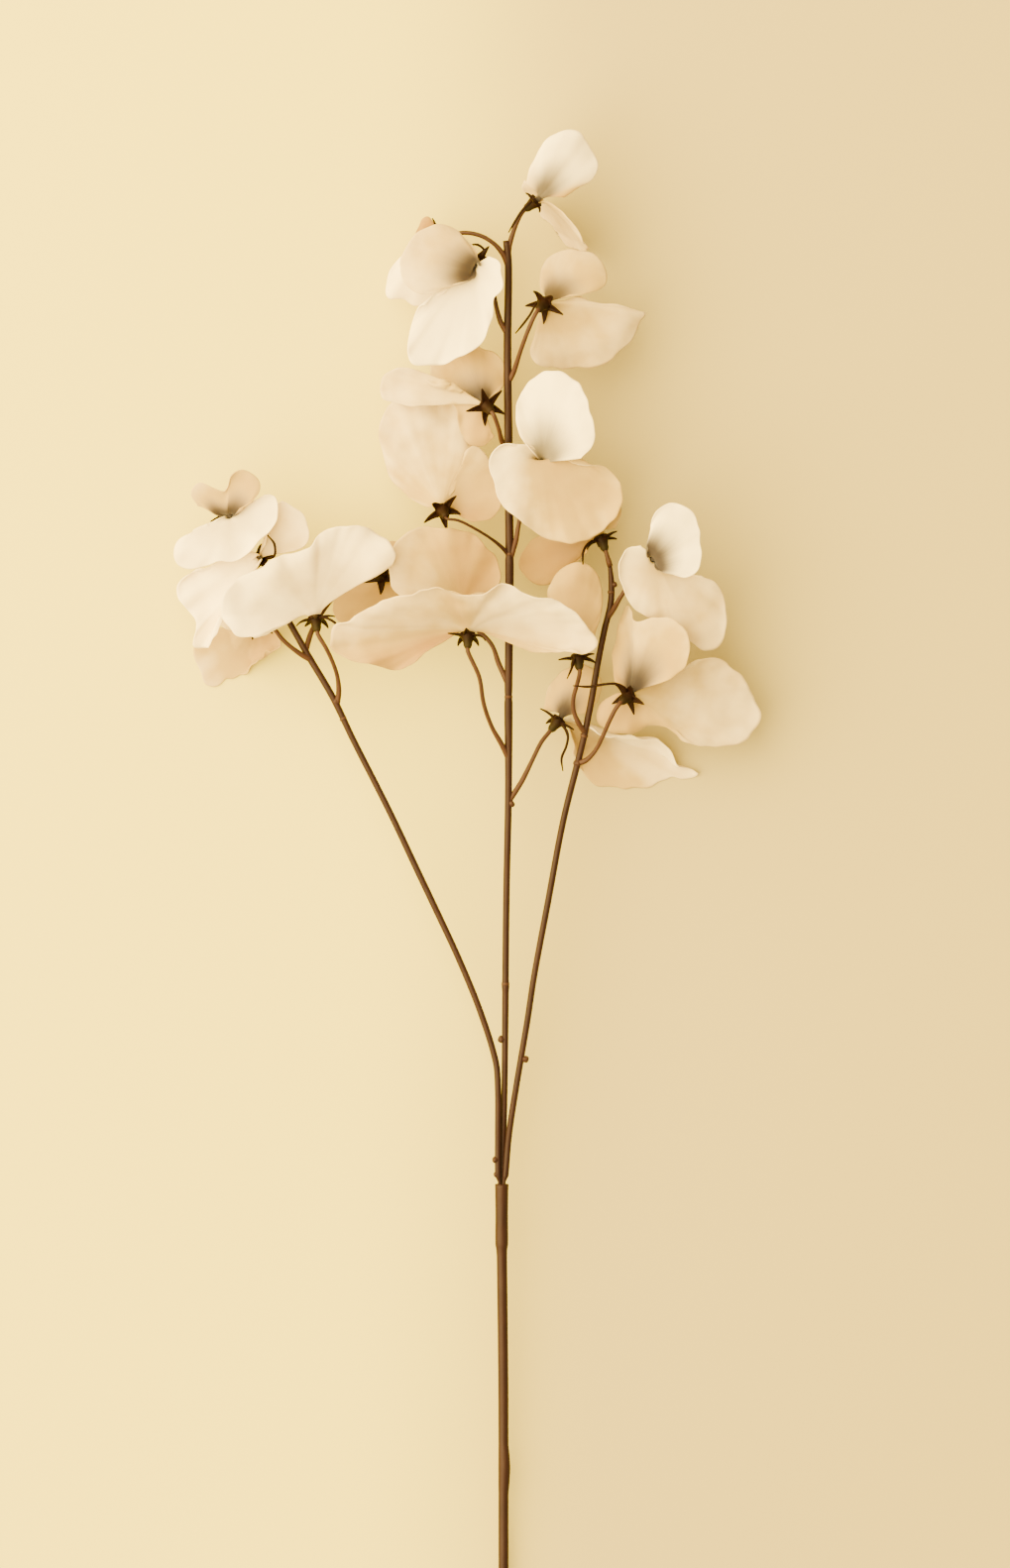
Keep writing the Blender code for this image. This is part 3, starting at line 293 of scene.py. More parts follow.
def joined(name, pieces):
    """One piece from several that were made apart."""
    bpy.ops.object.select_all(action="DESELECT")
    for piece in pieces:
        piece.select_set(True)
    bpy.context.view_layer.objects.active = pieces[0]
    if len(pieces) > 1:
        bpy.ops.object.join()
    whole = bpy.context.object
    whole.name = name
    whole.data.name = name
    whole.data.materials.clear()
    whole.data.shade_smooth()
    whole.select_set(False)
    return whole


def stem_plastic():
    """Dark red-brown dipped plastic on the stems, thinner and tan where it covers the pedicels."""
    finish, tree, shader, spot = new_finish("stem_plastic")
    pale = node(tree, "ShaderNodeAttribute", {}, "Fac", attribute_name="pale")
    streaks = spot.stretched(STREAK_SCALE).speckle(STREAKS, 3.0, 0.6)
    patches = spot.speckle(PATCHES)
    wear = (pale + (patches - 0.5) * 0.5 + (streaks - 0.5) * 0.35).between(0.15, 0.85)
    fill(shader, {
        "Base Color": wear.mixed(patches.mixed(*DARK_BROWN), streaks.mixed(*TAN)),
        "Specular IOR Level": 0.16,
        "Roughness": streaks * 0.25 + 0.38,
        "Normal": (streaks + patches * 0.6).relief(0.35, 0.0005),
    })
    return finish


stem_finish = stem_plastic()
main_rod = paint(rod("main_rod", MAIN_STEM, *MAIN_DETAIL), "pale", MAIN_PALE)
main_stem = joined("dipped_main_stem", [main_rod])
main_stem.data.materials.append(stem_finish)
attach(main_stem, "root")
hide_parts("main_stem")

# ----------------------------------------------------------------------------
# The three spray stems. Each is moulded in one with its pedicels, the rings where its lengths join,
# and the knobs where shoots were cut away.

# Stops along the middle of each stem, each with the stem's radius there.
SPRAYS = {
    "centre": [
        (-3.4, 250, 18.3, 0.85), (-3.4, 257, 18.75, 0.85), (-3.4, 260, 18.2, 1.6),
        (-2.6, 280, 20.2, 1.6), (-2, 303.5, 23, 1.6), (-1.5, 353, 28, 1.7),
        (-1.5, 355.5, 28.3, 1.95), (-1.5, 359, 28.5, 1.7), (-1, 403.5, 31, 1.7),
        (0, 453.5, 34, 1.8), (0, 499, 36.3, 2.1), (0, 502, 36.5, 1.75), (0, 505, 36.6, 2),
        (0.5, 553.5, 38.5, 2.1), (0.5, 571, 39, 2.2), (0.5, 574, 39.1, 1.8), (0.5, 577, 39.2, 2.1),
        (0, 628.5, 40.5, 2.1), (-0.5, 678.5, 41.3, 2), (0, 718.5, 41.5, 1.9), (-1, 732, 41.5, 1.8),
    ],
    "left": [
        (-4.5, 250, 20.2, 0.85), (-4.55, 257, 20.7, 0.85), (-5.25, 260, 21.3, 1.6),
        (-5.3, 280, 22.9, 1.6), (-5.3, 303.5, 24.7, 1.6), (-6.5, 318, 25.7, 1.6),
        (-14.4, 343.5, 27.5, 1.6), (-25, 369.5, 29, 1.6), (-37.3, 396, 30.4, 1.65),
        (-45.6, 413.5, 31, 1.65), (-60, 444, 32.2, 1.6), (-78.7, 481, 33, 1.6),
        (-88.8, 502, 33.5, 1.7), (-101.5, 523.5, 34, 1.7), (-108, 535, 34, 1.6),
        (-118, 552, 32.5, 1.5), (-128.5, 563, 28, 1.4), (-136.5, 575, 27.5, 1.3),
        (-140, 584.5, 31, 1.1), (-139.9, 588.5, 36, 1.1),
    ],
    "right": [
        (-2.3, 250, 20.2, 0.85), (-2.25, 257, 20.7, 0.85), (-1.55, 260, 21.3, 1.6),
        (0.2, 280, 22.9, 1.6), (3.7, 303.5, 24.6, 1.6), (9.5, 338, 27, 1.6), (13, 361, 28, 1.6),
        (20, 398.5, 29.8, 1.65), (27.5, 438.5, 31, 1.65), (35.5, 471, 32.2, 1.7),
        (38.5, 483.5, 33, 1.7), (42, 501, 34, 1.65), (45, 518.5, 35, 1.6), (48.5, 536, 36.4, 1.6),
        (51.5, 548.5, 37.2, 1.6), (52, 558.5, 37.8, 1.5), (51.2, 568, 38.4, 1.1),
    ],
}

# The pedicel of each flower: its spray stem, and its route from that stem to the calyx.
PEDICELS = {
    "c1": ("centre", [(-0.5, 723, 41.4), (0.8, 731, 41.5), (4, 740.5, 42)]),
    "c2": ("centre", [
        (-0.5, 685, 41.3), (-4, 691, 42), (-6.5, 700.5, 43), (-8.5, 713, 43.5), (-10, 721.5, 43.8),
    ]),
    "c3": ("centre", [
        (0, 661, 41), (2.5, 665.5, 43), (6, 676, 49.5), (9.5, 685.5, 55), (12.5, 692.5, 57.8),
    ]),
    "c4": ("centre", [
        (0, 719, 41.4), (-3, 725.5, 42.3), (-8, 731, 43.3), (-15, 734.8, 43.3), (-23, 736, 41.5),
    ]),
    "c5": ("centre", [
        (0, 625.5, 40.5), (-3.2, 630.5, 46.5), (-4.8, 636.5, 52.5), (-6.6, 641.8, 56.2),
    ]),
    "c6": ("centre", [
        (0.5, 573, 39.1), (-3.5, 577.5, 42), (-10, 582.5, 46.5), (-18.5, 587.5, 50.5),
        (-25.5, 590.8, 53),
    ]),
    "c7": ("centre", [
        (1, 572, 39), (3.5, 580, 40.3), (5.2, 589, 41.6), (7.5, 600, 42), (11.5, 610.5, 41.5),
    ]),
    "c8": ("centre", [
        (0, 508, 36.7), (-5, 519, 34.5), (-8, 527.5, 30.5), (-13, 533.5, 27), (-18.5, 536.8, 25.8),
    ]),
    "c9": ("centre", [
        (0, 471, 34.9), (-3.5, 478, 37.5), (-8.5, 487, 42.5), (-12.5, 498.5, 49.5),
        (-14.8, 512, 57),
    ]),
    "c10": ("centre", [(0, 449, 33.8), (6.5, 459, 33.4), (12.5, 471, 31.8), (16.5, 479, 30.3)]),
    "r1": ("right", [(51.2, 568, 38.4)]),
    "r2": ("right", [
        (50, 542, 36.8), (52.8, 545.8, 38.5), (57, 553, 41.5), (62.5, 560.5, 42.8),
        (67.5, 567, 42.8),
    ]),
    "r3": ("right", [
        (34.9, 468.5, 32.1), (39, 469.8, 34.2), (43.8, 474.8, 38.5), (47.5, 482, 43.5),
        (51, 490, 48), (53.8, 495.5, 50),
    ]),
    "r4": ("right", [
        (38.6, 484, 33.1), (35.5, 488.5, 36.5), (33, 494.5, 39), (32.7, 501, 42), (34.5, 508, 45.5),
    ]),
    "l1": ("left", [
        (-86.4, 499, 33.4), (-85.6, 505, 36), (-86.5, 513, 40.5), (-89.5, 521.5, 45),
        (-92.8, 528, 47.6),
    ]),
    "l2": ("left", [
        (-99.5, 520.5, 33.9), (-104.5, 523.3, 36), (-110, 527.3, 38.5), (-114.5, 531.5, 39.8),
        (-117.5, 535.5, 40),
    ]),
    "l3": ("left", [(-140, 584.5, 31), (-139.9, 588, 35)]),
    "l4": ("left", [(-116, 548.5, 32.8), (-119.5, 557, 31), (-121.8, 564, 29)]),
    "l5": ("left", [
        (-102.5, 525, 34), (-99, 536, 30.5), (-91, 549, 29.5), (-81, 559, 31.5), (-72.5, 564.3, 36),
    ]),
}

# Where shoots were cut away: the spray stem, the middle of the knob and its radius.
KNOBS = [
    ("centre", (-3.6, 329, 26), 1.9), ("centre", (1.6, 448, 34.2), 1.7),
    ("centre", (1.8, 625, 41), 1.8), ("left", (-6.6, 268, 22.5), 1.7),
    ("left", (-6.3, 260.5, 21.5), 1.4), ("left", (-87, 500, 33.6), 2),
    ("right", (8.6, 319, 26.2), 1.8), ("right", (53.6, 558.5, 38.2), 1.4),
    ("right", (34.6, 468.5, 32.3), 2),
]

# The pale rings where the lengths of a stem are joined, as two stops of a short wide rod.
RINGS = [
    ("centre", [(-1.5, 356.3, 28.35, 2.0), (-1.5, 357.7, 28.45, 2.0)]),
    ("centre", [(0, 501.3, 36.45, 2.05), (0, 502.7, 36.5, 2.05)]),
    ("centre", [(0.5, 573.3, 39.1, 2.1), (0.5, 574.7, 39.1, 2.1)]),
    ("right", [(38, 481.6, 32.9, 1.95), (38.3, 482.9, 33, 1.95)]),
    ("right", [(51.8, 554.2, 37.5, 1.8), (51.9, 555.4, 37.6, 1.8)]),
    ("left", [(-83.2, 490.4, 33.2, 1.85), (-83.8, 491.5, 33.2, 1.85)]),
]

# A pedicel is thicker by these amounts where it leaves the stem and at its next stop. It runs from
# a little behind the foot of its calyx to well inside it. The photo shows c6's as a thin thread.
PEDICEL_RADIUS = 1.1
THIN_PEDICELS = {"c6": 0.7}
PEDICEL_SWELLS = (0.4, 0.25)
BEHIND_FOOT = 1.5
SOCKET_REACH = 2.1

# How many sides and how long steps the rods have, how pale each is, and how lumpy the knobs are.
SPRAY_DETAIL = (16, 2.5)
PEDICEL_DETAIL = (12, 2.0)
RING_DETAIL = (16, 0.7)
SPRAY_PALE = 0.04
PEDICEL_PALE = 0.95
THIN_PALE = 0.3
KNOB_PALE = 0.45
RING_PALE = 1.3
KNOB_LUMPS = (0.25, 600.0)


def knob(spot, radius):
    """A rounded, slightly lumpy swelling."""
    bpy.ops.mesh.primitive_ico_sphere_add(
        subdivisions=3, radius=radius * MM, location=(0.0, 0.0, 0.0)
    )
    made = bpy.context.object
    height, pace = KNOB_LUMPS
    for vertex in made.data.vertices:
        swell = 1 + height * noise.noise(vertex.co * pace + Vector(spot))
        vertex.co = vertex.co * swell + place(*spot)
    made.select_set(False)
    return made


# Each calyx: the middle of its mouth, the way it faces, the turn of its sepals in degrees, and the
# route of its long sepal, where it has one.
CALYCES = {
    "c1": ((14.5, 752.5, 44), (0.75, 0.6, 0.15), 20, [
        (10.5, 751, 46.5), (6.5, 746.5, 46.8), (3, 741, 46.3), (0, 736, 45.5),
    ]),
    "c2": ((-17, 720, 54), (-0.3, -0.4, 0.87), 20, [
        (-13, 722.5, 53.5), (-12, 726.5, 54.5), (-15.5, 729.5, 55), (-20, 729.3, 55),
    ]),
    "c3": ((18.5, 700.5, 51), (0.45, 0.5, -0.74), 22, [
        (13.5, 699, 53.5), (11, 694.5, 53.5), (7.5, 689.8, 51.5), (3.5, 685, 49.5),
    ]),
    "c4": ((-38.5, 731.5, 34), (-0.85, -0.3, -0.4), 0, [
        (-37.5, 737, 37.5), (-37, 740.5, 38.5), (-38.5, 743.5, 38.5),
    ]),
    "c5": ((-11.5, 649, 50), (-0.4, 0.5, -0.77), 30, []),
    "c6": ((-33.5, 596.5, 45), (-0.25, 0.5, -0.8), 0, []),
    "c7": ((17, 619.5, 52), (0.12, 0.15, 0.98), 0, []),
    "c8": ((-24, 547.5, 30), (-0.2, 0.9, 0.35), 0, []),
    "c9": ((-20.5, 534, 58), (0, 0.9, -0.25), 18, []),
    "c10": ((26, 491, 27), (0.6, 0.75, -0.2), 0, [
        (27.5, 488, 30.5), (30, 483, 32.5), (29.2, 477, 33), (26.8, 471, 33), (27.5, 464.5, 32.5),
    ]),
    "r1": ((46.5, 583, 37), (-0.3, 0.9, -0.25), 0, [
        (43.3, 581, 40), (39.5, 578.5, 43.5), (37.5, 574, 46), (37.5, 568.5, 46.5),
    ]),
    "r2": ((73, 571.5, 54), (0.2, 0.1, 0.97), 40, []),
    "r3": ((61, 503, 44.5), (0.55, 0.5, -0.67), 0, [
        (58.5, 506.5, 49.5), (54, 508.5, 51), (47, 508, 51), (40, 507, 50.5), (32.5, 507.5, 50),
    ]),
    "r4": ((35, 523, 46), (-0.1, 0.95, -0.35), 0, [
        (33.2, 520.5, 49.5), (31.5, 515.5, 51.5), (29.5, 511, 51.5),
    ]),
    "l1": ((-97.5, 542.5, 46), (-0.15, 0.95, -0.25), 15, [
        (-94.5, 542, 49.5), (-91, 541.3, 51.5), (-87.5, 539.3, 52), (-84.5, 535.8, 51.5),
    ]),
    "l2": ((-126, 541, 31), (-0.6, 0.3, -0.7), 0, []),
    "l3": ((-140.5, 593.5, 48), (-0.1, 0.3, 0.94), 0, []),
    "l4": ((-125.5, 572, 40), (-0.25, 0.15, 0.95), 0, [
        (-122.3, 571.5, 41.5), (-118, 573, 46.5), (-118, 579, 48.3), (-121.5, 583.5, 48.3),
    ]),
    "l5": ((-64, 563, 27), (0.3, -0.2, -0.92), 0, []),
}

CALYX_HEIGHT = 8.0


def calyx_frame(key):
    """The mouth of a calyx, the way it faces, and its foot on the pedicel."""
    mouth, faces = (Vector(value) for value in CALYCES[key][:2])
    faces.normalize()
    return mouth, faces, mouth - faces * CALYX_HEIGHT


def pedicel(key, stops):
    """The stalk of one flower, from the spray stem into the foot of its calyx."""
    _, faces, foot = calyx_frame(key)
    ends = [foot - faces * BEHIND_FOOT, foot + faces * SOCKET_REACH]
    thick = THIN_PEDICELS.get(key, PEDICEL_RADIUS)
    route = [(*stop, thick) for stop in stops + ends]
    for i, swell in enumerate(PEDICEL_SWELLS[:len(stops)]):
        route[i] = (*stops[i], thick + swell)
    pale = THIN_PALE if key in THIN_PEDICELS else PEDICEL_PALE
    return paint(rod("pedicel_rod", route, *PEDICEL_DETAIL), "pale", pale)


for spray, route in SPRAYS.items():
    pieces = [paint(rod("stem_rod", route, *SPRAY_DETAIL), "pale", SPRAY_PALE)]
    pieces += [pedicel(key, stops) for key, (stem, stops) in PEDICELS.items() if stem == spray]
    for stem, spot, radius in KNOBS:
        if stem == spray:
            pieces.append(paint(knob(spot, radius), "pale", KNOB_PALE))
    for stem, stops in RINGS:
        if stem == spray:
            pieces.append(paint(rod("joint_ring", stops, *RING_DETAIL), "pale", RING_PALE))
    moulded = joined("moulded_" + spray + "_spray", pieces)
    moulded.data.materials.append(stem_finish)
    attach(moulded, "root")
    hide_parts(spray + "_spray_stem")

# ----------------------------------------------------------------------------
# The calyces. Soft moulded plastic, dark brown with an olive tube: a bell that grips the pedicel,
# five pointed sepals bent back from its mouth, and on most of them one long thread-like sepal.

# The bell: the radius of its foot, then the rise and the radius of each ring up to its mouth, and
# of each ring down into its hollow.
BELL_FOOT = 1.45
BELL_RINGS = [
    (0.6, 1.75), (0.8, 2.15), (1.4, 2.3), (1.6, 2.75), (1.6, 3.35), (1.3, 3.75), (0.7, 3.7),
]
HOLLOW_RINGS = [(0.0, 3.0), (-1.2, 2.7), (-2.0, 2.2)]

# The sepals start this far from the axis and this far below the mouth, a little raised, and curl
# back towards their tips. The photo shows c1's and l4's short.
SEPALS = 5
SEPAL_LENGTH = 8.2
SHORT_SEPALS = {"c1": 0.55, "l4": 0.7}
SEPAL_WIDTH = 4.3
SEPAL_TIP = 0.12
SEPAL_TAPER = 0.85
SEPAL_THICKNESS = 0.6
SEPAL_START = (2.6, 0.9)
SEPAL_RAISE = 0.1
SEPAL_CURL = 0.45
SEPAL_DROOP = 0.8
SEPAL_KEEL = 0.35

# How much chance changes a sepal: its angle, its length and its curl.
SEPAL_CHANCE = (0.25, 0.25, 0.7)

# The long sepal starts beside the axis, thicker than the rest of it, and ends in a point.
THREAD_RADII = (0.9, 0.65, 0.3)
THREAD_START = (2.0, 2.9)
THREAD_DETAIL = (10, 1.5)

# The darkest and the lightest brown and olive, how far up the bell the olive goes, and how fine the
# marks on the plastic are.
BROWN = (0.0048, 0.0017, 0.0009, 1.0), (0.0145, 0.0050, 0.0020, 1.0)
OLIVE = (0.0090, 0.0070, 0.0030, 1.0), (0.0225, 0.0170, 0.0070, 1.0)
OLIVE_HEIGHT = 4.6
MOTTLE = 420.0
CALYX_GRAIN = 1500.0


def bell():
    """The tube and cup, drawn up from a disc one ring at a time, with its hollow pushed in last."""
    bpy.ops.mesh.primitive_circle_add(
        vertices=20, radius=BELL_FOOT, fill_type="NGON", location=(0.0, 0.0, 0.0)
    )
    made = bpy.context.object
    bpy.ops.object.mode_set(mode="EDIT")
    bpy.ops.mesh.select_all(action="SELECT")
    wide = BELL_FOOT
    for rise, radius in BELL_RINGS + HOLLOW_RINGS:
        bpy.ops.mesh.extrude_region_move(TRANSFORM_OT_translate={"value": (0.0, 0.0, rise)})
        bpy.ops.transform.resize(value=(radius / wide, radius / wide, 1.0))
        wide = radius
    bpy.ops.object.mode_set(mode="OBJECT")
    made.select_set(False)
    return made


def thicken(sheet, thickness):
    """Gives a sheet its thickness, half of it to each side."""
    bpy.ops.object.modifier_add(type="SOLIDIFY")
    wall = sheet.modifiers[-1]
    wall.thickness = thickness
    wall.offset = 0.0
    bpy.ops.object.modifier_apply(modifier=wall.name)
    sheet.select_set(False)
    return sheet


def sepal(angle, length, curl):
    """One pointed sepal: a small sheet narrowed to a tip, keeled along its middle and bent back."""
    bpy.ops.mesh.primitive_grid_add(x_subdivisions=6, y_subdivisions=14, size=1.0)
    made = bpy.context.object
    outward = Vector((math.cos(angle), math.sin(angle), 0.0))
    across = Vector((-math.sin(angle), math.cos(angle), 0.0))
    up = Vector((0.0, 0.0, 1.0))
    start, sunk = SEPAL_START
    for vertex in made.data.vertices:
        side = vertex.co.x * 2
        along = vertex.co.y + 0.5
        width = SEPAL_WIDTH / 2 * (1 - along) ** SEPAL_TAPER + SEPAL_TIP
        bend = SEPAL_RAISE - curl * along
        reach = length * along
        rise = CALYX_HEIGHT - sunk + reach * math.sin(bend) * SEPAL_DROOP
        spot = outward * (start + reach * math.cos(bend)) + up * rise
        vertex.co = spot + across * side * width - up * abs(side) * SEPAL_KEEL * width
    return thicken(made, SEPAL_THICKNESS)


def sepal_thread(mouth, faces, tail):
    """The long thin sepal of one calyx, from inside its mouth along its own route."""
    back, beside = THREAD_START
    thick, usual, fine = THREAD_RADII
    level = mouth - faces * back
    outward = Vector(tail[0]) - level
    outward = (outward - faces * outward.dot(faces)).normalized()
    start = (*(level + outward * beside), thick)
    stops = [start, *[(*stop, usual) for stop in tail[:-1]], (*tail[-1], fine)]
    return paint(rod("sepal_thread", stops, *THREAD_DETAIL), "olive", 0.0)


def calyx_plastic():
    """Dark brown moulded plastic that turns olive towards the foot of the bell."""
    finish, tree, shader, spot = new_finish("calyx_plastic")
    olive = node(tree, "ShaderNodeAttribute", {}, "Fac", attribute_name="olive")
    mottle = spot.speckle(MOTTLE, 3.0)
    fill(shader, {
        "Base Color": olive.mixed(mottle.mixed(*BROWN), mottle.mixed(*OLIVE)),
        "Specular IOR Level": 0.06,
        "Roughness": mottle * 0.2 + 0.42,
        "Normal": spot.speckle(CALYX_GRAIN).relief(0.3, 0.0003),
    })
    return finish


calyx_finish = calyx_plastic()
for key, (_, _, turn, tail) in CALYCES.items():
    mouth, faces, foot = calyx_frame(key)
    grip = faces.to_track_quat("Z", "Y")
    pieces = [bell()]
    for i in range(SEPALS):
        chance = noise.cell_vector(foot * 0.31 + Vector((i * 3.7, 0.0, 0.0)))
        chance = (chance - Vector((0.5, 0.5, 0.5))) * Vector(SEPAL_CHANCE)
        angle = math.radians(turn) + i * math.tau / SEPALS + chance.x
        length = SEPAL_LENGTH * SHORT_SEPALS.get(key, 1.0) * (1 + chance.y)
        pieces.append(sepal(angle, length, SEPAL_CURL + chance.z))
    cup = joined("calyx_cup", pieces)
    side_on = min(1.0, 1.6 * (1.0 - abs(faces.z)))
    shades = []
    for vertex in cup.data.vertices:
        shades.append(side_on * max(0.0, min(1.0, 1.25 - vertex.co.z / OLIVE_HEIGHT)))
        vertex.co = place(*(foot + grip @ vertex.co))
    paint(cup, "olive", shades)
    pieces = [cup]
    if tail:
        pieces.append(sepal_thread(mouth, faces, tail))
    whole = joined("moulded_calyx_" + key, pieces)
    whole.data.materials.append(calyx_finish)
    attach(whole, "root")
    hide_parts("calyx_" + key)
